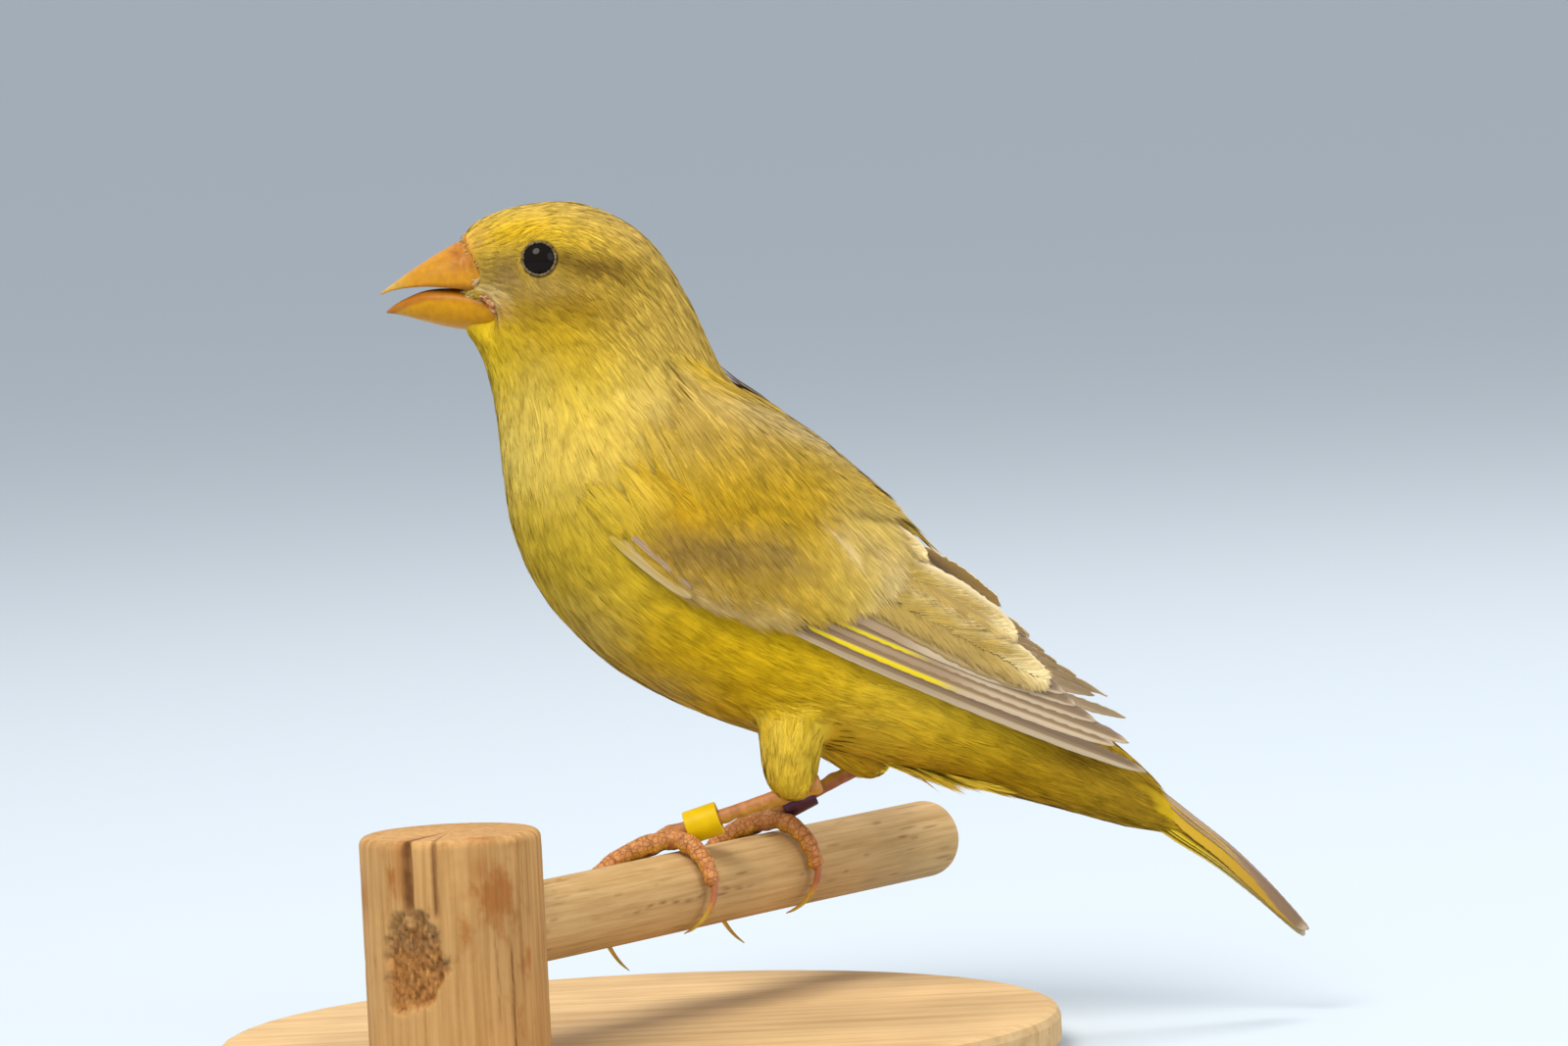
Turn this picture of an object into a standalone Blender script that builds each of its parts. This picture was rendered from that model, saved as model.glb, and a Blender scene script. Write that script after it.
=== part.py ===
"""A still, life-size canary gripping a round wooden perch that a post holds on a flat round base.

The frame's origin lies on the floor under the middle of the feet, +Z is up, and the bird faces -X.
Its plane of symmetry is Y = 0, and its left side, which the photograph shows, is at -Y.
Profiles are read in millimetres and become metres where points are made.
"""

import math

import bmesh
import bpy
import numpy as np
from mathutils import Matrix, Vector
from mathutils.bvhtree import BVHTree

MM = 0.001
GAP = 0.3

# The perch: a round dowel that crosses under the bird, its post and its base
BASE_RADIUS = 50.0
BASE_THICK = 5.0
PERCH_HEIGHT = 19.5
PERCH_RADIUS = 4.75
PERCH_TURN = math.radians(57)
POST_RADIUS = 10.5
POST_RISE = 12.5
POST_DISTANCE = 57.4
BASE_DISTANCE = 20.4
PERCH_END = 47.0
SOCKET_DEPTH = 4.0

# The bird's feet, shanks and rings
FEET_APART = 20.5
HUB_RISE = 6.2
SHANK_RADIUS = 0.9
RING_LENGTH = 4.1
RING_BORE = 1.2
RING_ABOVE = 0.65

# Sections from the bill's root to the tail: the top and bottom of each as x and z, and its half width
BODY = {
    "brow": (-28.0, 98.5, -28.2, 87.0, 3.4),
    "lores": (-25.7, 100.5, -27.2, 85.8, 4.8),
    "eyes": (-20.0, 102.0, -26.4, 84.3, 7.2),
    "crown": (-13.2, 101.7, -25.9, 82.8, 8.5),
    "nape": (-6.0, 97.5, -25.5, 81.0, 9.2),
    "neck_top": (-1.2, 89.8, -25.1, 78.6, 9.8),
    "neck": (2.3, 81.2, -24.8, 75.4, 10.7),
    "collar": (5.2, 77.7, -24.4, 69.0, 12.3),
    "breast": (8.4, 74.7, -23.4, 61.8, 13.8),
    "chest": (12.4, 71.2, -19.8, 53.9, 14.6),
    "belly": (17.8, 65.7, -12.8, 46.3, 14.8),
    "middle": (23.6, 58.8, -3.5, 40.6, 14.2),
    "flank": (29.0, 52.2, 6.5, 36.6, 12.8),
    "vent": (34.0, 46.6, 16.5, 33.6, 10.6),
    "rump": (39.0, 41.8, 26.5, 30.6, 8.2),
    "coverts": (44.0, 37.0, 35.5, 27.8, 6.2),
    "tail_root": (48.8, 32.6, 43.5, 25.2, 4.6),
    "tail_end": (52.3, 29.0, 48.6, 23.6, 3.4),
}
HEAD_END = 4.45
NECK_END = 6.6
TORSO_END = 12.5

# The surface that the folded wings lie on, in the same form as the body's sections
CLOAK = {
    "brow": (-28.0, 98.5, -28.2, 87.0, 3.4),
    "lores": (-25.7, 100.5, -27.2, 85.8, 4.8),
    "eyes": (-20.0, 102.0, -26.4, 84.3, 7.2),
    "crown": (-13.2, 101.7, -25.9, 82.8, 8.5),
    "nape": (-6.0, 97.5, -25.5, 81.0, 9.2),
    "neck_top": (-1.2, 89.8, -25.1, 78.6, 9.8),
    "neck": (2.3, 81.6, -24.8, 75.4, 11.1),
    "collar": (5.4, 78.4, -24.4, 69.0, 12.8),
    "breast": (8.8, 75.4, -23.4, 61.8, 14.3),
    "chest": (13.0, 71.8, -19.8, 53.9, 15.1),
    "belly": (18.6, 66.3, -12.8, 46.3, 15.3),
    "middle": (25.0, 60.2, -3.5, 40.6, 14.9),
    "flank": (30.8, 54.3, 6.5, 36.6, 13.7),
    "vent": (36.2, 49.0, 16.5, 33.6, 11.9),
    "rump": (41.4, 43.8, 26.5, 30.6, 9.9),
    "coverts": (46.6, 39.0, 35.5, 27.8, 8.0),
    "tail_root": (51.2, 35.0, 43.5, 25.2, 6.3),
    "tail_end": (55.0, 31.6, 48.6, 23.6, 5.0),
}

# The folded wing's chart: it starts at the wrist and runs along the wing's lower edge
WRIST = (-9.0, 62.5)
WING_SLOPE = math.radians(-27.8)

# Upper and lower halves of the bill from tip to root: x, ridge z, edge z, half width
UPPER_BILL = (
    (-38.0, 92.3, 92.0, 0.25),
    (-36.8, 93.1, 92.45, 1.0),
    (-35.0, 94.3, 92.75, 1.9),
    (-32.6, 95.75, 92.85, 2.9),
    (-30.2, 97.1, 92.65, 3.7),
    (-27.8, 98.2, 92.4, 4.3),
    (-25.2, 98.9, 92.2, 4.6),
)
LOWER_BILL = (
    (-37.4, 89.8, 90.05, 0.25),
    (-36.3, 89.6, 90.8, 1.0),
    (-34.6, 89.15, 91.6, 1.9),
    (-32.6, 88.5, 92.2, 2.8),
    (-30.2, 87.8, 92.3, 3.5),
    (-27.6, 87.3, 91.95, 4.1),
    (-23.8, 87.0, 90.8, 4.9),
)
BILL_ROOT_LEAN = 2.6
LOWER_SHOULDER = 0.22
EYE = (-18.9, 95.75)
EYE_RADIUS = 2.7
EYE_SHOWS = 1.87

COLOURS = {
    "yellow_feathers": (0.86, 0.70, 0.16, 0.8),
    "head_feathers": (0.78, 0.66, 0.22, 0.8),
    "wing_feathers": (0.66, 0.54, 0.28, 0.75),
    "tail_feathers": (0.66, 0.50, 0.18, 0.75),
    "bill_horn": (0.93, 0.62, 0.26, 0.4),
    "leg_skin": (0.72, 0.42, 0.26, 0.6),
    "eye": (0.03, 0.02, 0.02, 0.1),
    "ring_yellow": (0.95, 0.80, 0.05, 0.4),
    "ring_purple": (0.14, 0.08, 0.20, 0.4),
    "perch_wood": (0.80, 0.64, 0.42, 0.7),
    "stand_wood": (0.78, 0.60, 0.40, 0.7),
}


def clear_scene():
    for obj in list(bpy.data.objects):
        bpy.data.objects.remove(obj)


def named_collection(name):
    found = bpy.data.collections.new(name)
    bpy.context.scene.collection.children.link(found)
    return found


def adopt(obj):
    """Moves an object into the bird's collection."""
    for holder in list(obj.users_collection):
        holder.objects.unlink(obj)
    bird_parts.objects.link(obj)
    return obj


def material(name):
    made = bpy.data.materials.get(name)
    if made is None:
        red, green, blue, rough = COLOURS[name]
        made = bpy.data.materials.new(name)
        made.use_nodes = True
        shader = made.node_tree.nodes["Principled BSDF"]
        shader.inputs["Base Color"].default_value = (red, green, blue, 1)
        shader.inputs["Roughness"].default_value = rough
    return made


def mesh_object(name, points, faces, finish):
    """A closed mesh from points in millimetres, with its faces turned out."""
    data = bpy.data.meshes.new(name)
    data.from_pydata([Vector(p) * MM for p in points], [], faces)
    work = bmesh.new()
    work.from_mesh(data)
    bmesh.ops.recalc_face_normals(work, faces=work.faces)
    work.to_mesh(data)
    work.free()
    data.materials.append(material(finish))
    data.shade_smooth()
    data.set_sharp_from_angle(angle=math.radians(40))
    obj = bpy.data.objects.new(name, data)
    bird_parts.objects.link(obj)
    return obj


def loft(name, rings, finish):
    """A closed solid through rings of equally many points, with flat ends."""
    count = len(rings[0])
    points = [p for ring in rings for p in ring]
    faces = []
    for i in range(len(rings) - 1):
        for j in range(count):
            k = (j + 1) % count
            faces.append((i * count + j, i * count + k, (i + 1) * count + k, (i + 1) * count + j))
    faces.append(tuple(range(count)))
    faces.append(tuple((len(rings) - 1) * count + j for j in range(count)))
    return mesh_object(name, points, faces, finish)


def as_mesh(obj):
    """Bakes an object's modifiers, or a curve's bevel, into its own closed mesh."""
    bpy.context.view_layer.update()
    graph = bpy.context.evaluated_depsgraph_get()
    data = bpy.data.meshes.new_from_object(obj.evaluated_get(graph))
    work = bmesh.new()
    work.from_mesh(data)
    bmesh.ops.remove_doubles(work, verts=work.verts, dist=0.000001)
    work.to_mesh(data)
    work.free()
    if obj.type == "MESH":
        obj.modifiers.clear()
        obj.data = data
        return obj
    made = bpy.data.objects.new(obj.name, data)
    made.matrix_world = obj.matrix_world
    bird_parts.objects.link(made)
    name = obj.name
    bpy.data.objects.remove(obj)
    made.name = name
    return made


def cut(obj, cutter, keep_cutter=False):
    """Takes the cutter's shape out of obj."""
    bpy.context.view_layer.update()
    change = obj.modifiers.new("cut", "BOOLEAN")
    change.operation = "DIFFERENCE"
    change.object = cutter
    change.solver = "EXACT"
    as_mesh(obj)
    if not keep_cutter:
        bpy.data.objects.remove(cutter)
    return obj


def fuse(obj, pieces):
    """Joins closed pieces onto obj, which keeps only its largest closed surface."""
    group = named_collection("pieces_of_" + obj.name)
    for piece in pieces:
        bird_parts.objects.unlink(piece)
        group.objects.link(piece)
    change = obj.modifiers.new("fuse", "BOOLEAN")
    change.operation = "UNION"
    change.operand_type = "COLLECTION"
    change.collection = group
    change.solver = "EXACT"
    as_mesh(obj)
    for piece in pieces:
        bpy.data.objects.remove(piece)
    bpy.data.collections.remove(group)
    return keep_largest(obj)


def keep_largest(obj):
    """Drops every loose scrap and sealed hollow, so that one closed surface is left."""
    work = bmesh.new()
    work.from_mesh(obj.data)
    left = set(work.verts)
    islands = []
    while left:
        island = {left.pop()}
        edge_of_island = set(island)
        while edge_of_island:
            reached = {e.other_vert(v) for v in edge_of_island for e in v.link_edges}
            edge_of_island = reached - island
            island |= edge_of_island
        left -= island
        islands.append(island)
    islands.sort(key=len)
    loose = [v for island in islands[:-1] for v in island]
    bmesh.ops.delete(work, geom=loose, context="VERTS")
    work.to_mesh(obj.data)
    work.free()
    return obj


def smooth_row(rows, at):
    """The row at a fractional index, on a Catmull-Rom curve through the rows."""
    last = len(rows) - 1
    i = min(max(int(math.floor(at)), 0), last - 1)
    u = at - i
    before, a, b, after = (rows[min(max(k, 0), last)] for k in (i - 1, i, i + 1, i + 2))
    return 0.5 * (
        2 * a
        + (b - before) * u
        + (2 * before - 5 * a + 4 * b - after) * u**2
        + (3 * a - before - 3 * b + after) * u**3
    )


BODY_ROWS = np.array(list(BODY.values()), float)
CLOAK_ROWS = np.array(list(CLOAK.values()), float)


def body_ring(at, grow=0.0, around=24):
    """One section of the body as points, with its lower half a little fuller than its upper half."""
    top_x, top_z, low_x, low_z, half = smooth_row(BODY_ROWS, at)
    middle = np.array([(top_x + low_x) / 2, (top_z + low_z) / 2])
    reach = np.array([(top_x - low_x) / 2, (top_z - low_z) / 2])
    reach = reach * (1 + grow / np.linalg.norm(reach))
    ring = []
    for j in range(around):
        turn = 2 * math.pi * j / around
        up, side = math.cos(turn), math.sin(turn)
        x, z = middle + reach * up
        ring.append((x, (half + grow) * side * (1 - 0.06 * up), z))
    return ring


def body_piece(name, start, end, finish, steps, grow=0.0):
    ats = np.linspace(start, end, steps)
    return loft(name, [body_ring(at, grow) for at in ats], finish)


TABLE_STEPS = 1400
CLOAK_TABLE = [smooth_row(CLOAK_ROWS, at) for at in np.linspace(0, len(CLOAK_ROWS) - 1, TABLE_STEPS)]
BODY_TABLE = [smooth_row(BODY_ROWS, at) for at in np.linspace(0, len(BODY_ROWS) - 1, TABLE_STEPS)]


def side_of(table, x, z):
    """How far the lofted surface stands out from the middle plane at x and z."""
    rows = np.array(table)
    across = rows[:, 0:2] - rows[:, 2:4]
    from_low = np.array([x, z]) - rows[:, 2:4]
    off = across[:, 0] * from_low[:, 1] - across[:, 1] * from_low[:, 0]
    off = off / np.linalg.norm(across, axis=1)
    i = int(np.argmin(np.abs(off)))
    share = float(from_low[i] @ across[i]) / float(across[i] @ across[i])
    up = 2 * share - 1
    return float(rows[i, 4]) * math.sqrt(max(1 - up * up, 0.0004)) * (1 - 0.06 * up)


def wing_point(along, up, height, side):
    """A point of the wing's chart, at a height over the surface that the wing lies on."""
    cos, sin = math.cos(WING_SLOPE), math.sin(WING_SLOPE)
    x = WRIST[0] + along * cos - up * sin
    z = WRIST[1] + along * sin + up * cos
    step = 1.0
    y = side_of(CLOAK_TABLE, x, z)
    slope_x = (side_of(CLOAK_TABLE, x + step, z) - side_of(CLOAK_TABLE, x - step, z)) / (2 * step)
    slope_z = (side_of(CLOAK_TABLE, x, z + step) - side_of(CLOAK_TABLE, x, z - step)) / (2 * step)
    out = Vector((-slope_x, 1, -slope_z)).normalized() * height
    return Vector((x + out.x, side * (y + out.y), z + out.z))


def make_body():
    """Head, neck, torso and rump, each parted from the next by a thin cut."""
    part = 0.045
    head = body_piece("head", 0, HEAD_END - part, "head_feathers", 19)
    body_piece("neck", HEAD_END + part, NECK_END - part, "head_feathers", 9)
    body_piece("torso", NECK_END + part, TORSO_END - part, "yellow_feathers", 19)
    body_piece("rump", TORSO_END + part, len(BODY) - 1, "yellow_feathers", 13)
    return head


def bill_half(name, rows, lean, grow=0.0, root_grow=0.0):
    """One half of the bill. Its ridge is rounded, its inner side hollowed, and its root leans by lean."""
    rings = []
    for i, (x, ridge, edge, half) in enumerate(rows):
        tall = ridge - edge
        sign = 1 if tall > 0 else -1
        last = i == len(rows) - 1
        half_grown = half + grow
        shoulder = LOWER_SHOULDER * tall if sign < 0 else 0.0
        ring = []
        for j in range(9):
            turn = math.pi * j / 8
            y = half_grown * math.cos(turn)
            z = edge - sign * grow + shoulder + (tall - shoulder + 2 * sign * grow) * math.sin(turn) ** 0.8
            ring.append((x, y, z))
        for share in (-0.8, -0.45, 0, 0.45, 0.8):
            dip = 0.0 if grow or abs(share) > 0.7 else 0.22 * tall * (1 - abs(share))
            ring.append((x, half_grown * share, edge - sign * grow + dip))
        if last:
            ring = [(x + root_grow - lean * max(0, (z - edge) / tall), y, z) for x, y, z in ring]
        elif i == 0:
            ring = [(x - grow, y, z) for x, y, z in ring]
        rings.append(ring)
    return loft(name, rings, "bill_horn")


def ball(name, radius, at, finish, squash=(1, 1, 1), segments=16, rings=10):
    work = bmesh.new()
    bmesh.ops.create_uvsphere(work, u_segments=segments, v_segments=rings, radius=radius * MM)
    data = bpy.data.meshes.new(name)
    bmesh.ops.scale(work, vec=squash, verts=work.verts)
    bmesh.ops.translate(work, vec=Vector(at) * MM, verts=work.verts)
    work.to_mesh(data)
    work.free()
    data.materials.append(material(finish))
    data.shade_smooth()
    obj = bpy.data.objects.new(name, data)
    bird_parts.objects.link(obj)
    return obj


def make_head(head):
    """Cuts the bill's seat, the mouth's corner and the eye sockets, and raises the lids."""
    upper = bill_half("bill_upper", UPPER_BILL, BILL_ROOT_LEAN)
    bill_half("bill_lower", LOWER_BILL, 0.0)
    for side in (-1, 1):
        nostril = ball("nostril", 0.5, (-28.6, side * 2.95, 96.6), "bill_horn", (1.3, 1, 0.8), 10, 6)
        cut(upper, nostril)
    eye_side = side_of(BODY_TABLE, *EYE)
    lids = []
    for side in (-1, 1):
        bpy.ops.mesh.primitive_torus_add(
            major_segments=20,
            minor_segments=6,
            major_radius=(EYE_SHOWS + 0.32) * MM,
            minor_radius=0.42 * MM,
            location=Vector((EYE[0], side * (eye_side - 0.1), EYE[1])) * MM,
            rotation=(math.radians(90 + side * 9), 0, math.radians(side * -14)),
        )
        lid = adopt(bpy.context.object)
        lid.data.transform(lid.matrix_world)
        lid.matrix_world = Matrix.Identity(4)
        lids.append(lid)
    fuse(head, lids)
    depth = math.sqrt(EYE_RADIUS**2 - EYE_SHOWS**2)
    for side, name in ((-1, "eye_left"), (1, "eye_right")):
        at = (EYE[0] + 0.2, side * (eye_side - depth), EYE[1])
        ball(name, EYE_RADIUS, at, "eye")
        cut(head, ball("socket", EYE_RADIUS + GAP, at, "eye"))
    cut(head, bill_half("upper_seat", UPPER_BILL, BILL_ROOT_LEAN, GAP, GAP))
    cut(head, bill_half("lower_seat", LOWER_BILL, 0.0, GAP, GAP))
    mouth = ball("mouth", 1.0, (0, 0, 0), "bill_horn", (4.6, 8.0, 0.42), 20, 8)
    mouth.data.transform(Matrix.Translation(Vector((-26.6, 0, 91.5)) * MM) @ Matrix.Rotation(math.radians(19), 4, "Y"))
    cut(head, mouth)
    keep_largest(head)


def perch_point(along, around, away):
    """A point by the perch: along it, turned from its top towards the toes' side, and away from its axis."""
    cos, sin = math.cos(PERCH_TURN), math.sin(PERCH_TURN)
    forward = away * math.sin(around)
    return Vector((along * cos - forward * sin, along * sin + forward * cos, PERCH_HEIGHT + away * math.cos(around)))


def tube(name, points, radii, finish, roundness=1):
    """A round tube through points, with its own radius at each, as a closed mesh."""
    line = bpy.data.curves.new(name, "CURVE")
    line.dimensions = "3D"
    line.bevel_depth = MM
    line.bevel_resolution = roundness
    line.use_fill_caps = True
    spline = line.splines.new("POLY")
    spline.points.add(len(points) - 1)
    for knot, point, radius in zip(spline.points, points, radii):
        knot.co = (*(Vector(point) * MM), 1)
        knot.radius = radius
    obj = bpy.data.objects.new(name, line)
    bird_parts.objects.link(obj)
    line.materials.append(material(finish))
    return as_mesh(obj)


def curve_through(points, count):
    rows = np.array([tuple(p) for p in points], float)
    return [Vector(smooth_row(rows, at)) for at in np.linspace(0, len(rows) - 1, count)]


# Each toe: its slant along the perch for each millimetre around it, how far it wraps, and its claw's stand-off
LEFT_TOES = {
    "inner": (-0.2, 64, 0.5),
    "middle": (-0.75, 96, 3.2),
    "outer": (-1.45, 64, 0.5),
    "hind": (-0.12, -74, 0.2),
}
RIGHT_TOES = {
    "inner": (-1.0, 66, 0.5),
    "middle": (-0.45, 96, 3.0),
    "outer": (0.2, 64, 0.5),
    "hind": (0.05, -80, 0.3),
}
TOE_THICK = 1.0
TOE_END = 0.85


def toe(name, hub, start, slant, wrap, stand_off):
    """A toe that grips the perch and ends in its claw, with swellings at its joints."""
    sign = 1 if wrap > 0 else -1
    points, radii = [hub], [TOE_THICK]
    steps = 7
    for i in range(1, steps + 1):
        share = i / steps
        radius = TOE_THICK + (TOE_END - TOE_THICK) * share
        swell = 1.0 + 0.12 * math.cos(share * 6 * math.pi)
        around = math.radians(wrap) * share
        away = PERCH_RADIUS + GAP + radius * 1.12
        arc = abs(around) * away
        points.append(perch_point(start + slant * arc, around, away))
        radii.append(radius * swell)
    claw_steps = 6
    claw_turn = math.radians(66)
    end_arc = abs(math.radians(wrap)) * away
    for i in range(1, claw_steps + 1):
        share = i / claw_steps
        around = math.radians(wrap) + sign * claw_turn * (0.12 + 0.88 * share)
        radius = 0.62 * (1 - share) ** 0.7 + 0.14
        lift = PERCH_RADIUS + GAP + radius + 0.5 * (1 - share) + stand_off * share**1.6
        points.append(perch_point(start + slant * (end_arc + 2.2 * share), around, lift))
        radii.append(radius)
    return tube(name, points, radii, "leg_skin")


LEGS = {
    "left": {
        "along": -FEET_APART / 2 - 0.9,
        "hub": (-6.4, -8.6, 25.9),
        "ankle": (-6.4, -8.6, 26.4),
        "heel": (10.3, -9.4, 31.3),
        "toes": LEFT_TOES,
        "ring_wall": 0.8,
    },
    "right": {
        "along": FEET_APART / 2,
        "hub": (4.6, 8.6, 25.85),
        "ankle": (5.2, 8.6, 26.3),
        "heel": (18.0, 10.1, 32.2),
        "toes": RIGHT_TOES,
        "ring_wall": 0.45,
    },
}
THIGHS = {
    "left": ((10.0, -6.5, 43.0, 5.0, 4.2), (8.8, -8.8, 38.0, 4.3, 3.9), (8.3, -9.3, 34.4, 3.5, 3.3),
             (8.2, -9.4, 31.6, 2.9, 2.7), (7.9, -9.4, 29.9, 1.5, 1.4)),
    "right": ((11.5, 6.5, 42.5, 5.0, 4.2), (13.0, 8.4, 38.0, 4.4, 3.8), (15.6, 9.6, 34.7, 3.6, 3.1),
              (18.0, 10.1, 32.5, 2.8, 2.5), (20.2, 10.2, 31.8, 1.3, 1.2)),
}
HUB_RADIUS = 1.45
STUB = 1.4


def thigh(name, rows, grow=0.0):
    """A feathered thigh as a tapering drop along its own bent line."""
    ats = np.linspace(0, len(rows) - 1, 11)
    table = np.array(rows, float)
    middles = [smooth_row(table, at) for at in ats]
    rings = []
    for i, row in enumerate(middles):
        ahead = middles[min(i + 1, len(middles) - 1)]
        behind = middles[max(i - 1, 0)]
        line = Vector(ahead[:3] - behind[:3]).normalized()
        side = Vector((0, 1, 0)).cross(line).normalized()
        out = line.cross(side)
        end = grow if i == len(middles) - 1 else 0.0
        ring = []
        for j in range(16):
            turn = 2 * math.pi * j / 16
            offset = side * math.cos(turn) * (row[3] + grow) + out * math.sin(turn) * (row[4] + grow)
            ring.append(Vector(row[:3]) + offset + line * end)
        rings.append(ring)
    return loft(name, rings, "yellow_feathers")


def make_leg(side, body_clear):
    """A thigh against the body, a shank from it down to the foot, the foot with its claws, and the ring."""
    plan = LEGS[side]
    hub, ankle, heel = (Vector(plan[place]) for place in ("hub", "ankle", "heel"))
    up_leg = (heel - ankle).normalized()
    upper = thigh("thigh_" + side, THIGHS[side])
    cut(upper, body_clear, keep_cutter=True)
    keep_largest(upper)
    shank_line = [ankle + up_leg * (STUB + GAP), ankle + up_leg * 6, ankle + up_leg * 11, heel]
    shank = tube("shank_" + side, shank_line, (SHANK_RADIUS, SHANK_RADIUS, SHANK_RADIUS * 1.06, SHANK_RADIUS * 1.3), "leg_skin", 2)
    cut(shank, thigh("thigh_clear", THIGHS[side], GAP))
    keep_largest(shank)
    foot = ball("foot_" + side, HUB_RADIUS, hub, "leg_skin", segments=14, rings=8)
    foot.data.transform(Matrix.Translation(hub * MM) @ Matrix.Diagonal((1.15, 1.15, 0.9, 1)) @ Matrix.Translation(-hub * MM))
    stub_line = (hub, ankle, ankle + up_leg * STUB)
    pieces = [tube("stub", stub_line, (SHANK_RADIUS * 1.2, SHANK_RADIUS * 1.15, SHANK_RADIUS), "leg_skin")]
    start = plan["along"]
    for name, (slant, wrap, stand_off) in plan["toes"].items():
        pieces.append(toe("toe_" + name, hub, start, slant, wrap, stand_off))
    fuse(foot, pieces)
    ring_middle = ankle + up_leg * (STUB + RING_ABOVE + RING_LENGTH / 2)
    ring_finish = "ring_yellow" if side == "left" else "ring_purple"
    leg_ring("ring_" + side, ring_middle, up_leg, ring_finish, plan["ring_wall"])


def leg_ring(name, middle, axis, finish, wall):
    """A leg ring: a short turned tube round the shank, clear of it by the bore's gap."""
    half = RING_LENGTH / 2
    profile = [(RING_BORE + wall, half - 0.1), (RING_BORE + wall, 0.1 - half), (RING_BORE + wall - 0.1, -half),
               (RING_BORE, -half), (RING_BORE, half), (RING_BORE + wall - 0.1, half)]
    data = bpy.data.meshes.new(name)
    count = len(profile)
    data.from_pydata([(r * MM, 0, z * MM) for r, z in profile], [(i, (i + 1) % count) for i in range(count)], [])
    data.materials.append(material(finish))
    obj = bpy.data.objects.new(name, data)
    bird_parts.objects.link(obj)
    turn = obj.modifiers.new("turn", "SCREW")
    turn.steps = turn.render_steps = 22
    turn.use_merge_vertices = True
    turn.merge_threshold = 0.00001
    obj.rotation_euler = axis.to_track_quat("Z", "Y").to_euler()
    obj.location = middle * MM
    return obj


# A fine mesh of the cloak, on which feathers are laid
def cloak_tree():
    ats = np.linspace(0, len(CLOAK_ROWS) - 1, 70)
    around = 72
    work = bmesh.new()
    rows = []
    for at in ats:
        top_x, top_z, low_x, low_z, half = smooth_row(CLOAK_ROWS, at)
        row = []
        for j in range(around):
            turn = 2 * math.pi * j / around
            up, side = math.cos(turn), math.sin(turn)
            x = (top_x + low_x) / 2 + (top_x - low_x) / 2 * up
            z = (top_z + low_z) / 2 + (top_z - low_z) / 2 * up
            row.append(work.verts.new((x, half * side * (1 - 0.06 * up), z)))
        rows.append(row)
    for first, second in zip(rows, rows[1:]):
        for j in range(around):
            k = (j + 1) % around
            work.faces.new((first[j], first[k], second[k], second[j]))
    bmesh.ops.recalc_face_normals(work, faces=work.faces)
    tree = BVHTree.FromBMesh(work)
    work.free()
    return tree


CLOAK_TREE = cloak_tree()
MIDLINE_CLEAR = 0.3


def on_cloak(point, height, side):
    """The point laid on the cloak and raised over it, kept on its own side of the middle plane."""
    place, normal, _, _ = CLOAK_TREE.find_nearest(point)
    away = Vector((place.x, place.y, 0)) - Vector((place.x, 0, 0))
    if normal.dot(away) < 0:
        normal = -normal
    laid = place + normal * height
    if side * laid.y < MIDLINE_CLEAR:
        laid.y = side * MIDLINE_CLEAR
    return laid


# A feather's outline from root to tip: share of the length, share of the full width, share of the thickness
OUTLINES = {
    "flight": ((0, 0.45, 1), (0.25, 0.95, 1), (0.6, 1, 1), (0.82, 0.85, 0.9), (0.94, 0.5, 0.75), (1, 0.12, 0.5)),
    "broad": ((0, 0.5, 1), (0.35, 1, 1), (0.7, 1, 1), (0.9, 0.72, 0.85), (1, 0.22, 0.5)),
}
VANE_THICK = 0.52


def vane(name, centres, frame_of, outline, low, high, heights, finish):
    """A curved vane. frame_of lays an edge point for a centre's index, its offset across and its height."""
    rings = []
    for i, (_, width, thick) in enumerate(OUTLINES[outline]):
        share = i / (len(OUTLINES[outline]) - 1)
        base = heights["root"] + (heights["tip"] - heights["root"]) * share
        thickness = VANE_THICK * thick
        outer, inner = [], []
        for across, tilt in ((-low * width, heights["tilt"]), (0, heights["crown"]), (high * width, -heights["tilt"])):
            outer.append(frame_of(i, across, base + tilt))
            inner.append(frame_of(i, across, base + tilt - thickness))
        rings.append(outer + inner[::-1])
    points = [p for ring in rings for p in ring]
    faces = []
    count = 6
    for i in range(len(rings) - 1):
        near, far = i * count, (i + 1) * count
        for j in range(count):
            k = (j + 1) % count
            if j in (0, 1, 2):
                faces += [(near + j, near + k, far + k), (near + j, far + k, far + j)]
            else:
                faces += [(near + j, near + k, far + j), (near + k, far + k, far + j)]
    last = (len(rings) - 1) * count
    for start in (0, last):
        faces += [(start, start + 1, start + 4, start + 5), (start + 1, start + 2, start + 3, start + 4)]
    return mesh_object(name, points, faces, finish)


def wing_vane(name, side, root, tip, low, high, heights, outline="flight", bend=0.0, finish="wing_feathers"):
    """A vane of the folded wing, from root to tip in the wing's chart. bend bows its middle upwards."""
    a0, b0 = root
    a1, b1 = tip
    shares = [row[0] for row in OUTLINES[outline]]
    chart = [(a0 + (a1 - a0) * t, b0 + (b1 - b0) * t + bend * 4 * t * (1 - t)) for t in shares]
    middles = [on_cloak(wing_point(a, b, 0, side), 0, side) for a, b in chart]

    def frame_of(i, across, height):
        ahead = middles[min(i + 1, len(middles) - 1)]
        behind = middles[max(i - 1, 0)]
        line = (ahead - behind).normalized()
        _, normal, _, _ = CLOAK_TREE.find_nearest(middles[i])
        if normal.y * side < 0:
            normal = -normal
        over = line.cross(normal) * -side
        if over.z < 0:
            over = -over
        return on_cloak(middles[i] + over * across, height, side)

    return vane(name, middles, frame_of, outline, low, high, heights, finish)


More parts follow.
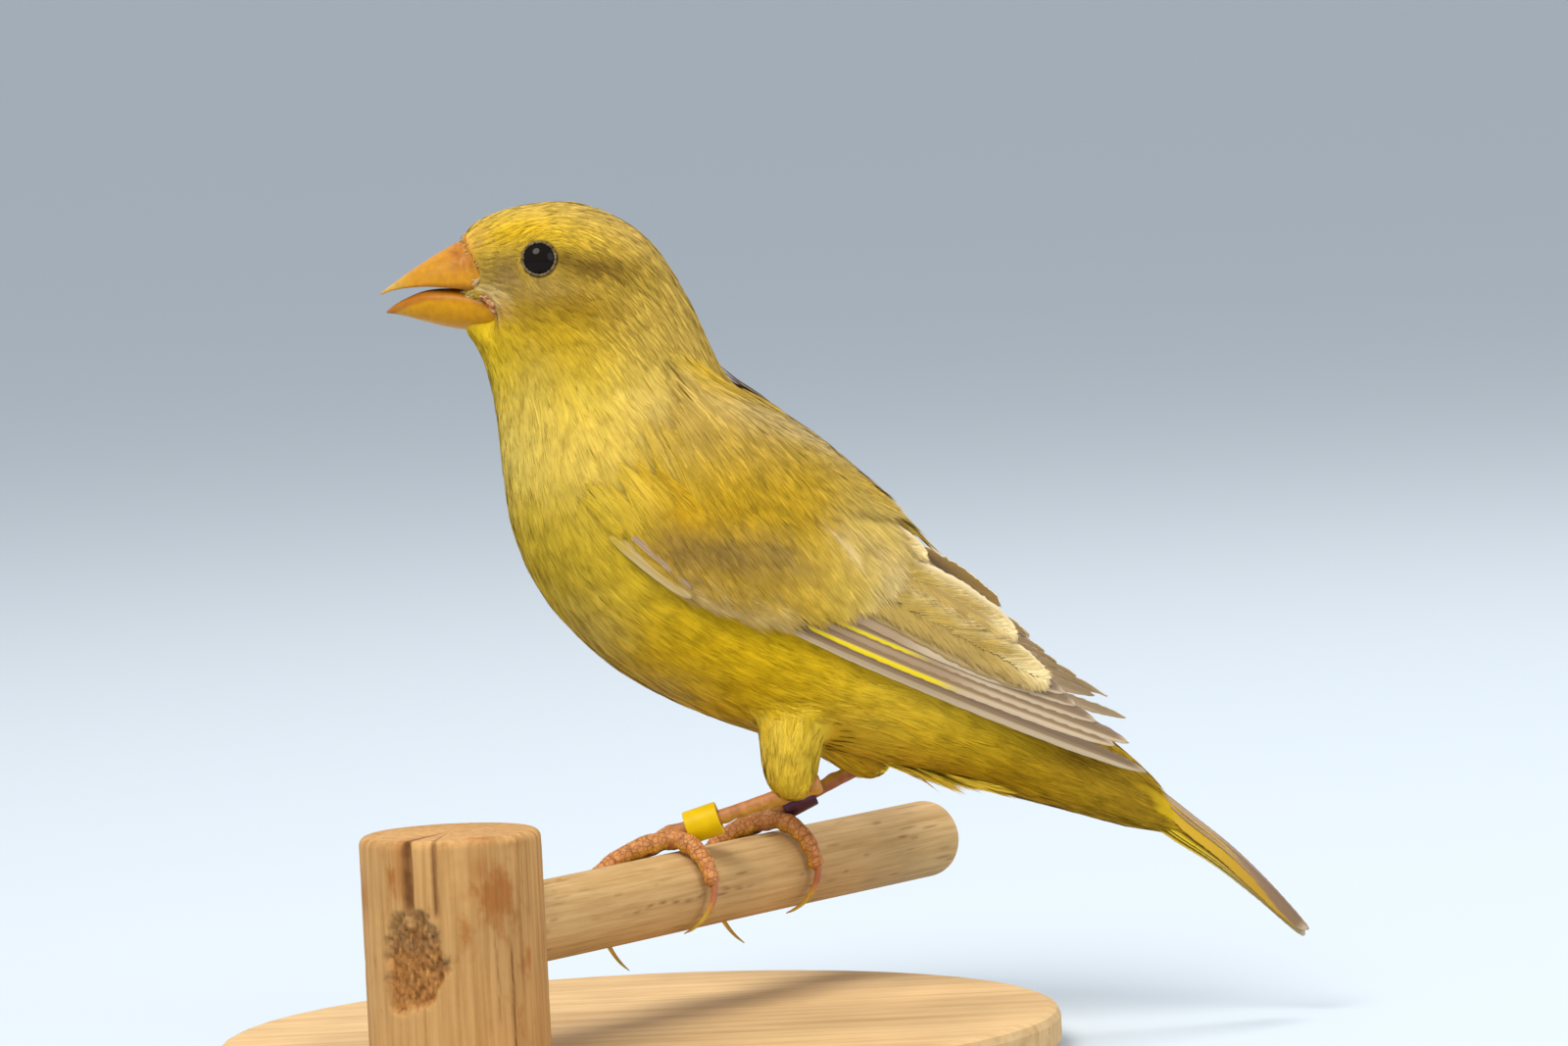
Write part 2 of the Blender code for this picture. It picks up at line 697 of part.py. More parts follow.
# The folded wing under its feathers: along, lower edge, upper edge and height of its core
WING_CORE = (
    (-1.2, 0.6, 3.4, 0.5),
    (2.0, -1.6, 9.5, 1.3),
    (8.0, -2.4, 15.0, 1.7),
    (16.0, -2.0, 16.0, 1.7),
    (24.0, -1.2, 14.6, 1.5),
    (32.0, -0.8, 12.4, 1.1),
    (40.0, -0.6, 9.8, 0.8),
    (47.0, -0.3, 7.0, 0.6),
)

# Tiers of the wing: first root, last root, first tip, last tip, how many, widths below and above, heights
TIERS = {
    "primary": {
        "roots": ((20.0, -0.4), (26.0, 4.2)), "tips": ((68.0, 0.0), (55.0, 4.0)), "count": 7, "low": 0.9, "high": 1.7,
        "heights": {"root": 0.5, "tip": 0.45, "tilt": 0.14, "crown": 0.16}, "rise": 0.07, "bend": -0.5, "outline": "flight",
    },
    "secondary": {
        "roots": ((18.0, 2.2), (18.0, 5.0)), "tips": ((50.4, 2.7), (52.2, 4.2)), "count": 2, "low": 1.3, "high": 2.0,
        "heights": {"root": 0.9, "tip": 0.8, "tilt": 0.14, "crown": 0.2}, "rise": 0.08, "bend": -0.5, "outline": "flight",
    },
    "tertial": {
        "roots": ((17.0, 6.6), (16.0, 13.2)), "tips": ((51.8, 4.3), (33.0, 11.6)), "count": 4, "low": 2.5, "high": 2.3,
        "heights": {"root": 1.1, "tip": 0.9, "tilt": 0.15, "crown": 0.25}, "rise": 0.1, "bend": 0.6, "outline": "broad",
    },
    "greater_covert": {
        "roots": ((10.0, -0.6), (14.0, 10.5)), "tips": ((24.0, 0.0), (31.5, 9.0)), "count": 7, "low": 1.5, "high": 1.6,
        "heights": {"root": 1.2, "tip": 1.15, "tilt": 0.12, "crown": 0.25}, "rise": 0.03, "bend": 0.3, "outline": "broad",
    },
    "median_covert": {
        "roots": ((3.0, -0.6), (6.0, 9.5)), "tips": ((14.8, -0.9), (21.0, 9.8)), "count": 5, "low": 1.8, "high": 2.0,
        "heights": {"root": 1.2, "tip": 1.55, "tilt": 0.1, "crown": 0.2}, "rise": 0.02, "bend": 0.3, "outline": "broad",
    },
    "alula": {
        "roots": ((-1.0, 1.4), (0.0, 2.2)), "tips": ((9.3, -2.2), (8.2, -0.4)), "count": 2, "low": 0.8, "high": 1.0,
        "heights": {"root": 0.9, "tip": 1.4, "tilt": 0.1, "crown": 0.15}, "rise": 0.1, "bend": 0.2, "outline": "flight",
    },
}
# The far wing lies a little higher and further forward than the near one
FAR_SHORTER = 0.935
FAR_LIFT = 0.0009


def wing_place(place, side):
    along, up = place
    if side > 0 and along > 0:
        return along * FAR_SHORTER, up + along * along * FAR_LIFT
    return along, up


def make_wing(name, side, body_clear):
    rows = np.array(WING_CORE, float)
    rings = []
    for at in np.linspace(0, len(rows) - 1, 13):
        along, low, high, height = smooth_row(rows, at)
        ring = []
        for j in range(7):
            share = j / 6
            crown = height * (0.3 + 0.7 * math.sin(math.pi * share) ** 0.5)
            flat = on_cloak(wing_point(*wing_place((along, low + (high - low) * share), side), 0, side), crown, side)
            ring.append(flat)
        for j in range(6, -1, -1):
            share = j / 6
            depth = -1.4 if along < 40 else -0.1
            flat = on_cloak(wing_point(*wing_place((along, low + (high - low) * share), side), 0, side), depth, side)
            ring.append(flat)
        rings.append(ring)
    wing = loft(name, rings, "wing_feathers")
    vanes = []
    for tier, plan in TIERS.items():
        for i in range(plan["count"]):
            share = i / max(plan["count"] - 1, 1)
            root = tuple(a + (b - a) * share for a, b in zip(*plan["roots"]))
            tip = tuple(a + (b - a) * share for a, b in zip(*plan["tips"]))
            heights = dict(plan["heights"])
            heights["root"] += plan["rise"] * i
            heights["tip"] += plan["rise"] * i
            vanes.append(
                wing_vane(
                    tier, side, wing_place(root, side), wing_place(tip, side),
                    plan["low"], plan["high"], heights, plan["outline"], plan["bend"],
                )
            )
    fuse(wing, vanes)
    cut(wing, body_clear, keep_cutter=True)
    return keep_largest(wing)


# The tail's middle line as x and z, its core, and the layout of its six pairs of feathers
TAIL_LINE = ((50.6, 26.9), (55.0, 23.5), (60.0, 19.6), (65.0, 14.75), (69.3, 9.9))
TAIL_PAIRS = 6
TAIL_CORE = ((50.55, 4.9, 2.9), (53.0, 4.2, 3.4), (56.0, 3.0, 3.5), (58.5, 1.6, 3.2))


def tail_point(share):
    """A point of the tail's middle line and the line's own upward normal there."""
    rows = np.array(TAIL_LINE, float)
    x, z = smooth_row(rows, share * (len(rows) - 1))
    ahead = smooth_row(rows, min(share + 0.02, 1) * (len(rows) - 1))
    behind = smooth_row(rows, max(share - 0.02, 0) * (len(rows) - 1))
    line = Vector((ahead[0] - behind[0], 0, ahead[1] - behind[1])).normalized()
    normal = Vector((-line.z, 0, line.x))
    return Vector((x, 0, z)), normal


def tail_vane(side, pair):
    """One tail feather: the middle pair lies on top, and each outer one lies lower and further out."""
    length = 0.955 + 0.045 * math.sin(math.pi * pair / 5)
    start = 0.04
    shares = [start + (length - start) * row[0] for row in OUTLINES["flight"]]
    spread = [0.28 + pair * (0.34 + 0.34 * share) for share in shares]
    depth = [1.75 - 1.4 * share for share in shares]
    droop = [half * (1 - 2 * pair / (TAIL_PAIRS - 1)) for half in depth]

    def frame_of(i, across, height):
        place, normal = tail_point(shares[i])
        y = side * (spread[i] + across)
        if side * y < 0.0 and pair > 0:
            y = 0.0
        roof = -0.22 * max(across, 0)
        return place + normal * (droop[i] + height + roof) + Vector((0, y, 0))

    heights = {"root": 0.25, "tip": 0.25, "tilt": 0.0, "crown": 0.1}
    return vane("rectrix", shares, frame_of, "flight", 1.0 if pair else 0.9, 1.35, heights, "tail_feathers")


def make_tail(body_clear):
    rows = np.array(TAIL_CORE, float)
    rings = []
    line = np.array(TAIL_LINE, float)
    for at in np.linspace(0, len(rows) - 1, 6):
        x, tall, half = smooth_row(rows, at)
        share = float(np.interp(x, line[:, 0], np.linspace(0, 1, len(line))))
        place, normal = tail_point(max(share, 0.0))
        ring = []
        for j in range(16):
            turn = 2 * math.pi * j / 16
            ring.append(place + normal * (tall / 2 * math.cos(turn)) + Vector((0, half * math.sin(turn), 0)))
        rings.append(ring)
    tail = loft("tail", rings, "tail_feathers")
    vanes = [tail_vane(side, pair) for pair in range(TAIL_PAIRS) for side in (-1, 1)]
    fuse(tail, vanes)
    cut(tail, body_clear, keep_cutter=True)
    return keep_largest(tail)


def make_perch():
    """The dowel, rounded at its free end, in a socket of its post on the round base."""
    direction = Vector((math.cos(PERCH_TURN), math.sin(PERCH_TURN), 0))
    post_at = -direction * POST_DISTANCE
    bpy.ops.mesh.primitive_cylinder_add(vertices=48, radius=BASE_RADIUS * MM, depth=BASE_THICK * MM)
    base = bpy.context.object
    base.location = (-direction * BASE_DISTANCE + Vector((0, 0, BASE_THICK / 2))) * MM
    base.name = "stand_base"
    post_low = BASE_THICK + GAP
    post_tall = PERCH_HEIGHT + POST_RISE - post_low
    bpy.ops.mesh.primitive_cylinder_add(vertices=36, radius=POST_RADIUS * MM, depth=post_tall * MM)
    post = bpy.context.object
    post.location = (post_at + Vector((0, 0, post_low + post_tall / 2))) * MM
    post.name = "stand_post"
    start = -(POST_DISTANCE - POST_RADIUS + SOCKET_DEPTH)
    length = PERCH_END - start
    bpy.ops.mesh.primitive_cylinder_add(vertices=28, radius=PERCH_RADIUS * MM, depth=length * MM)
    dowel = bpy.context.object
    dowel.name = "perch_dowel"
    turn = direction.to_track_quat("Z", "Y").to_euler()
    dowel.rotation_euler = turn
    dowel.location = (direction * (start + length / 2) + Vector((0, 0, PERCH_HEIGHT))) * MM
    bpy.ops.mesh.primitive_cylinder_add(vertices=28, radius=(PERCH_RADIUS + GAP) * MM, depth=30 * MM)
    bore = bpy.context.object
    bore.rotation_euler = turn
    bore.location = (direction * (start - GAP + 15) + Vector((0, 0, PERCH_HEIGHT))) * MM
    for obj, finish, width, segments in (
        (base, "stand_wood", 1.2, 2),
        (post, "stand_wood", 1.6, 2),
        (dowel, "perch_wood", 1.2, 2),
        (bore, "stand_wood", 0, 0),
    ):
        adopt(obj)
        obj.data.materials.append(material(finish))
        obj.data.shade_smooth()
        if width:
            edge = obj.modifiers.new("rounded", "BEVEL")
            edge.width = width * MM
            edge.segments = segments
            edge.limit_method = "ANGLE"
            edge.angle_limit = math.radians(60)
    as_mesh(post)
    cut(post, bore)


clear_scene()
bird_parts = named_collection("canary")
make_perch()
make_head(make_body())
BODY_CLEAR_END = len(BODY) - 1 + 0.07
whole_body = body_piece("body_clear", 4.0, BODY_CLEAR_END, "yellow_feathers", 40, GAP)
for leg_side in ("left", "right"):
    make_leg(leg_side, whole_body)
make_wing("wing_left", -1, whole_body)
make_wing("wing_right", 1, whole_body)
make_tail(whole_body)
bpy.data.objects.remove(whole_body)
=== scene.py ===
"""The looks of the perched canary: skin, coat, wings, tail, bill, eyes, legs, rings, perch and stand.

Profiles are read in millimetres, as in the part's source, and become metres where a mesh is made.
"""

import math

import bmesh
import bpy
import numpy as np
from mathutils import Matrix, Vector, noise
from mathutils.bvhtree import BVHTree
from mathutils.kdtree import KDTree


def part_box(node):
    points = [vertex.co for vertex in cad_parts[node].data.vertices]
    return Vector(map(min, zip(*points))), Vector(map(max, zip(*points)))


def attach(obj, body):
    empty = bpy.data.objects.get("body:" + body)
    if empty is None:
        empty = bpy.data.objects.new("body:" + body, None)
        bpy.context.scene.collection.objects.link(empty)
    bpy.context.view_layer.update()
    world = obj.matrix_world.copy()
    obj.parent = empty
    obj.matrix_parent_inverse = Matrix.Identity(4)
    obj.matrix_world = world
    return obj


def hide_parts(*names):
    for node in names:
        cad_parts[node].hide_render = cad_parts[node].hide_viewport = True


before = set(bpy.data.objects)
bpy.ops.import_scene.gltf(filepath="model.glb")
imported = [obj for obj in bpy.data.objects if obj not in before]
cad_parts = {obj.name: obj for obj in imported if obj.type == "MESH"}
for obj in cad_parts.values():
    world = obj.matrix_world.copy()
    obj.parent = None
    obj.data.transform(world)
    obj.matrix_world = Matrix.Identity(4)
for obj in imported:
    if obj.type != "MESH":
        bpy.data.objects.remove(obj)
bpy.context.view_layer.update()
MM = 0.001
SEED = 11
random = np.random.default_rng(SEED)

# Body sections from the bill's root to the tail: top x and z, bottom x and z, half width
BODY = np.array(
    [
        (-28.0, 98.5, -28.2, 87.0, 3.4),
        (-25.7, 100.5, -27.2, 85.8, 4.8),
        (-20.0, 102.0, -26.4, 84.3, 7.2),
        (-13.2, 101.7, -25.9, 82.8, 8.5),
        (-6.0, 97.5, -25.5, 81.0, 9.2),
        (-1.2, 89.8, -25.1, 78.6, 9.8),
        (2.3, 81.2, -24.8, 75.4, 10.7),
        (5.2, 77.7, -24.4, 69.0, 12.3),
        (8.4, 74.7, -23.4, 61.8, 13.8),
        (12.4, 71.2, -19.8, 53.9, 14.6),
        (17.8, 65.7, -12.8, 46.3, 14.8),
        (23.6, 58.8, -3.5, 40.6, 14.2),
        (29.0, 52.2, 6.5, 36.6, 12.8),
        (34.0, 46.6, 16.5, 33.6, 10.6),
        (39.0, 41.8, 26.5, 30.6, 8.2),
        (44.0, 37.0, 35.5, 27.8, 6.2),
        (48.8, 32.6, 43.5, 25.2, 4.6),
        (52.3, 29.0, 48.6, 23.6, 3.4),
    ]
)
# The surface the folded wings lie on: the body's sections with the back raised
CLOAK = BODY.copy()
CLOAK[6:] = [
    (2.3, 81.6, -24.8, 75.4, 11.1),
    (5.4, 78.4, -24.4, 69.0, 12.8),
    (8.8, 75.4, -23.4, 61.8, 14.3),
    (13.0, 71.8, -19.8, 53.9, 15.1),
    (18.6, 66.3, -12.8, 46.3, 15.3),
    (25.0, 60.2, -3.5, 40.6, 14.9),
    (30.8, 54.3, 6.5, 36.6, 13.7),
    (36.2, 49.0, 16.5, 33.6, 11.9),
    (41.4, 43.8, 26.5, 30.6, 9.9),
    (46.6, 39.0, 35.5, 27.8, 8.0),
    (51.2, 35.0, 43.5, 25.2, 6.3),
    (55.0, 31.6, 48.6, 23.6, 5.0),
]
# Two sections more carry the body's flesh under the tail's root
BODY = np.vstack([BODY, [(55.4, 24.6, 54.2, 22.4, 1.9), (59.6, 20.1, 59.0, 19.1, 0.8)]])
BODY_END = 17
THIGHS = {
    "left": ((10.0, -6.5, 43.0, 5.0, 4.2), (8.8, -8.8, 38.0, 4.3, 3.9), (8.3, -9.3, 34.4, 3.5, 3.3),
             (8.2, -9.4, 31.6, 2.9, 2.7), (7.9, -9.4, 29.9, 1.5, 1.4)),
    "right": ((11.5, 6.5, 42.5, 5.0, 4.2), (13.0, 8.4, 38.0, 4.4, 3.8), (15.6, 9.6, 34.7, 3.6, 3.1),
              (18.0, 10.1, 32.5, 2.8, 2.5), (20.2, 10.2, 31.8, 1.3, 1.2)),
}
COAT_DEPTH = 0.27
FACE_DEPTH = 0.12

# Colours, linear, as the photograph's soft light shows them
YELLOW = (0.57, 0.37, 0.010)
BRIGHT = (0.78, 0.48, 0.008)
PALE = (0.78, 0.56, 0.10)
CROWN = (0.62, 0.42, 0.10)
BUFF = (0.55, 0.36, 0.075)
OLIVE = (0.50, 0.30, 0.02)
GREY = (0.36, 0.27, 0.14)
LILAC = (0.40, 0.34, 0.20)
OCHRE = (0.42, 0.245, 0.03)
BROWN = (0.33, 0.20, 0.055)
# Yellow of the vent's loose fringe, raised above its own as painted light, since it hangs in shade
FRINGE_PAINTED_LIGHT = (1.0, 0.74, 0.07)
SHAFT = (0.22, 0.12, 0.02)
CREAM = (0.74, 0.57, 0.26)
QUILL = (0.40, 0.27, 0.15)
# Dark inner web of the flight feathers: its own darker colour, with painted shade towards the edge that the next
# feather covers
QUILL_DARK_AND_SHADE = (0.20, 0.12, 0.06)
QUILL_EDGE = (0.66, 0.50, 0.32)
STRIPE = (0.78, 0.60, 0.004)
# Pale underside of the wing, raised above its own colour as painted light, since the far wing lies in shade
UNDER_WING_PAINTED_LIGHT = (1.0, 0.86, 0.68)


def smooth_row(rows, at):
    """The row at a fractional index, on a Catmull-Rom curve through the rows."""
    last = len(rows) - 1
    i = min(max(int(math.floor(at)), 0), last - 1)
    u = at - i
    before, a, b, after = (rows[min(max(k, 0), last)] for k in (i - 1, i, i + 1, i + 2))
    return 0.5 * (
        2 * a
        + (b - before) * u
        + (2 * before - 5 * a + 4 * b - after) * u**2
        + (3 * a - before - 3 * b + after) * u**3
    )


def smoothstep(low, high, value):
    share = np.clip((np.asarray(value, float) - low) / (high - low), 0, 1)
    return share * share * (3 - 2 * share)


def new_object(name, points, faces, finish, colours=None, smooth=True):
    """A mesh object from points in millimetres, with an optional colour for each point."""
    data = bpy.data.meshes.new(name)
    points = np.asarray(points, float) * MM
    data.from_pydata(points.tolist(), [], faces)
    if colours is not None:
        layer = data.color_attributes.new("plumage", "FLOAT_COLOR", "POINT")
        flat = np.ones((len(points), 4))
        flat[:, :3] = colours
        layer.data.foreach_set("color", flat.ravel())
    if smooth:
        data.shade_smooth()
    if finish is not None:
        data.materials.append(finish)
    obj = bpy.data.objects.new(name, data)
    bpy.context.scene.collection.objects.link(obj)
    return obj


def set_uv(obj, name, coordinates):
    """A UV map from one coordinate pair for each point."""
    layer = obj.data.uv_layers.new(name=name)
    index = np.empty(len(obj.data.loops), int)
    obj.data.loops.foreach_get("vertex_index", index)
    layer.data.foreach_set("uv", np.asarray(coordinates, float)[index].ravel())


def show(obj, slot, *nodes):
    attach(obj, "root")
    if nodes:
        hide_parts(*nodes)
    return obj


class Nodes:
    """A short way to write a material's node tree."""

    def __init__(self, name):
        self.material = bpy.data.materials.new(name)
        self.material.use_nodes = True
        self.tree = self.material.node_tree
        self.shader = self.tree.nodes["Principled BSDF"]

    def add(self, kind, inputs=(), **settings):
        node = self.tree.nodes.new(kind)
        for key, value in settings.items():
            setattr(node, key, value)
        for key, value in dict(inputs).items():
            if isinstance(value, bpy.types.NodeSocket):
                self.tree.links.new(value, node.inputs[key])
            else:
                node.inputs[key].default_value = value
        return node

    def place(self, scale=(1, 1, 1), turn=(0, 0, 0)):
        where = self.add("ShaderNodeTexCoord").outputs["Object"]
        turned = self.add("ShaderNodeMapping", {"Vector": where, "Rotation": turn}).outputs[0]
        return self.add("ShaderNodeMapping", {"Vector": turned, "Scale": scale}).outputs[0]

    def noise(self, scale, detail=4, rough=0.55, where=None, **more):
        where = where or self.place()
        inputs = {"Vector": where, "Scale": scale, "Detail": detail, "Roughness": rough, **more}
        return self.add("ShaderNodeTexNoise", inputs).outputs["Fac"]

    def ramp(self, value, *stops):
        node = self.add("ShaderNodeValToRGB", {"Fac": value})
        elements = node.color_ramp.elements
        while len(elements) < len(stops):
            elements.new(0.5)
        for element, (place, colour) in zip(elements, stops):
            element.position = place
            colour = (colour, colour, colour) if isinstance(colour, (int, float)) else colour
            element.color = (*colour, 1)
        return node.outputs["Color"]

    def mix(self, factor, a, b, blend="MIX"):
        node = self.add("ShaderNodeMix", data_type="RGBA", blend_type=blend)
        for socket, value in ((node.inputs[0], factor), (node.inputs[6], a), (node.inputs[7], b)):
            if isinstance(value, bpy.types.NodeSocket):
                self.tree.links.new(value, socket)
            elif isinstance(value, (int, float)):
                socket.default_value = value
            else:
                socket.default_value = (*value, 1)
        return node.outputs[2]

    def math(self, operation, a, b=0.0):
        return self.add("ShaderNodeMath", {0: a, 1: b}, operation=operation).outputs[0]

    def bump(self, height, distance, strength=1.0, after=None):
        inputs = {"Height": height, "Distance": distance, "Strength": strength}
        if after is not None:
            inputs["Normal"] = after
        return self.add("ShaderNodeBump", inputs).outputs["Normal"]

    def finish(self, **inputs):
        for key, value in inputs.items():
            socket = self.shader.inputs[key.replace("_", " ")]
            if isinstance(value, bpy.types.NodeSocket):
                self.tree.links.new(value, socket)
            elif isinstance(value, tuple) and len(value) == 3:
                socket.default_value = (*value, 1)
            else:
                socket.default_value = value
        return self.material


# The body's hull, its flow of feathers, and its places

AROUND = 96
ALONG = 190
STATIONS = np.linspace(0, len(BODY) - 1, ALONG)


def loft_grid(rows, stations, around, widen=0.0):
    grid = np.zeros((len(stations), around, 3))
    for i, at in enumerate(stations):
        top_x, top_z, low_x, low_z, half = smooth_row(rows, at)
        turn = 2 * np.pi * np.arange(around) / around
        up, side = np.cos(turn), np.sin(turn)
        grid[i, :, 0] = (top_x + low_x) / 2 + (top_x - low_x) / 2 * up
        grid[i, :, 1] = (half + widen) * side * (1 - 0.06 * up)
        grid[i, :, 2] = (top_z + low_z) / 2 + (top_z - low_z) / 2 * up
    return grid


def grid_faces(rows, columns, closed=True, caps=False):
    faces = []
    for i in range(rows - 1):
        for j in range(columns if closed else columns - 1):
            k = (j + 1) % columns
            faces.append((i * columns + j, i * columns + k, (i + 1) * columns + k, (i + 1) * columns + j))
    if caps:
        faces.append(tuple(range(columns - 1, -1, -1)))
        faces.append(tuple((rows - 1) * columns + j for j in range(columns)))
    return faces


def thigh_grid(rows, steps=26, around=28):
    table = np.array(rows, float)
    middles = [smooth_row(table, at) for at in np.linspace(0, len(rows) - 1, steps)]
    grid = np.zeros((steps, around, 3))
    for i, row in enumerate(middles):
        ahead = middles[min(i + 1, steps - 1)]
        behind = middles[max(i - 1, 0)]
        line = Vector(ahead[:3] - behind[:3]).normalized()
        side = Vector((0, 1, 0)).cross(line).normalized()
        out = line.cross(side)
        for j in range(around):
            turn = 2 * math.pi * j / around
            grid[i, j] = Vector(row[:3]) + side * math.cos(turn) * row[3] + out * math.sin(turn) * row[4]
    return grid


BODY_GRID = loft_grid(BODY, STATIONS, AROUND)
THIGH_GRIDS = {side: thigh_grid(rows) for side, rows in THIGHS.items()}

EYE_AT = {side: (Vector(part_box("eye_" + side)[0]) + Vector(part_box("eye_" + side)[1])) / 2 / MM for side in ("left", "right")}
EYE_RADIUS = 2.7
for eye_side in ("left", "right"):
    EYE_AT[eye_side] += Vector((0.2, 0, -0.3))
EYE_OPEN = 1.85


def eye_seat(side):
    """The middle of the eye's opening, on the face, and the direction that the eye looks in."""
    sign = -1 if side == "left" else 1
    axis = Vector((-0.1, sign, 0.15)).normalized()
    return EYE_AT[side] + axis * math.sqrt(EYE_RADIUS**2 - EYE_OPEN**2), axis


# Hollows pressed into the face: centre, radius, depth
DENTS = []
for dent_side in (-1, 1):
    DENTS += [
        (Vector((-26.0, dent_side * 5.2, 89.2)), 3.4, 1.9),
        (Vector((-26.8, dent_side * 4.6, 94.8)), 2.8, 0.5),
    ]


def make_hull():
    """The coat's outside: body and thighs as one closed smooth mesh."""
    pieces = [new_object("hull", BODY_GRID.reshape(-1, 3), grid_faces(ALONG, AROUND, caps=True), None)]
    for side, grid in THIGH_GRIDS.items():
        rows, columns, _ = grid.shape
        pieces.append(new_object("thigh", grid.reshape(-1, 3), grid_faces(rows, columns, caps=True), None))
    work = bmesh.new()
    for piece in pieces:
        work.from_mesh(piece.data)
    bmesh.ops.recalc_face_normals(work, faces=work.faces)
    hull = pieces[0]
    work.to_mesh(hull.data)
    work.free()
    for piece in pieces[1:]:
        bpy.data.objects.remove(piece)
    remesh = hull.modifiers.new("one skin", "REMESH")
    remesh.mode = "VOXEL"
    remesh.voxel_size = 0.5 * MM
    soften = hull.modifiers.new("soften", "SMOOTH")
    soften.factor = 0.5
    soften.iterations = 4
    bpy.context.view_layer.update()
    data = bpy.data.meshes.new_from_object(hull.evaluated_get(bpy.context.evaluated_depsgraph_get()))
    hull.modifiers.clear()
    hull.data = data
    places = mesh_points(hull)
    normals = mesh_normals(hull)
    for centre, radius, depth in DENTS:
        near = np.linalg.norm(places - np.array(centre), axis=1) / radius
        places -= normals * (depth * (1 - smoothstep(0, 1, near)))[:, None]
    for side, sign in (("left", -1), ("right", 1)):
        seat, axis = (np.array(v) for v in eye_seat(side))
        offset = places - seat
        out = offset @ axis
        flat = np.linalg.norm(offset - out[:, None] * axis, axis=1)
        near = smoothstep(5.2, 2.4, flat) * (places[:, 1] * sign > 3)
        places -= axis * (out * near)[:, None]
    set_points(hull, places)
    return hull


def mesh_points(obj):
    flat = np.empty(len(obj.data.vertices) * 3)
    obj.data.vertices.foreach_get("co", flat)
    return flat.reshape(-1, 3) / MM


def mesh_normals(obj):
    flat = np.empty(len(obj.data.vertices) * 3)
    obj.data.vertices.foreach_get("normal", flat)
    return flat.reshape(-1, 3)


def set_points(obj, points):
    obj.data.vertices.foreach_set("co", (np.asarray(points) * MM).ravel())
    obj.data.update()


def tree_of(obj):
    points = mesh_points(obj)
    return BVHTree.FromPolygons([Vector(p) for p in points], [tuple(p.vertices) for p in obj.data.polygons])


# The lie of the feathers where it leaves the body's own lines: x, z, radius, angle below the horizon in degrees
LIE = (
    (-24.0, 80.0, 7.0, 78),
    (-19.0, 66.0, 9.0, 62),
    (-8.0, 52.0, 10.0, 38),
    (4.0, 46.0, 11.0, 24),
    (18.0, 40.0, 11.0, 20),
    (32.0, 36.0, 11.0, 26),
    (-17.0, 88.0, 6.0, 40),
    (-8.0, 84.0, 7.0, 52),
    (4.0, 74.0, 8.0, 52),
    (16.0, 64.0, 8.0, 48),
)


class Flow:
    """The lie of the feathers at any place, and that place's station and turn on its form."""

    def __init__(self):
        places, directions, marks = [], [], []
        grids = [(BODY_GRID, 0.0)] + [(grid[6:], 100.0 + 20 * i) for i, grid in enumerate(THIGH_GRIDS.values())]
        for grid, first in grids:
            rows, columns, _ = grid.shape
            lines = np.gradient(grid, axis=0)
            lines /= np.maximum(np.linalg.norm(lines, axis=2, keepdims=True), 1e-9)
            for i in range(rows):
                station = STATIONS[i] if first == 0 else first + i / 2
                for j in range(columns):
                    places.append(grid[i, j])
                    directions.append(lines[i, j])
                    marks.append((station, j / columns))
        self.tree = KDTree(len(places))
        for i, place in enumerate(places):
            self.tree.insert(Vector(place), i)
        self.tree.balance()
        self.directions = [Vector(d) for d in directions]
        self.marks = marks

    def mark(self, place):
        return self.marks[self.tree.find(place)[1]]

    def __call__(self, place):
        _, index, _ = self.tree.find(place)
        line = self.directions[index].copy()
        if self.marks[index][0] < 100:
            total, push = 1.0, line
            for x, z, radius, angle in LIE:
                near = ((place.x - x) ** 2 + (place.z - z) ** 2) / radius**2
                weight = 3.0 * math.exp(-near)
                turn = math.radians(angle)
                push = push + Vector((math.cos(turn), 0, -math.sin(turn))) * weight
                total += weight
            line = push / total
            for side in ("left", "right"):
                seat, _ = eye_seat(side)
                away = place - seat
                if away.length < 4.6:
                    line = line + away.normalized() * (1.7 * (1 - away.length / 4.6))
        return line


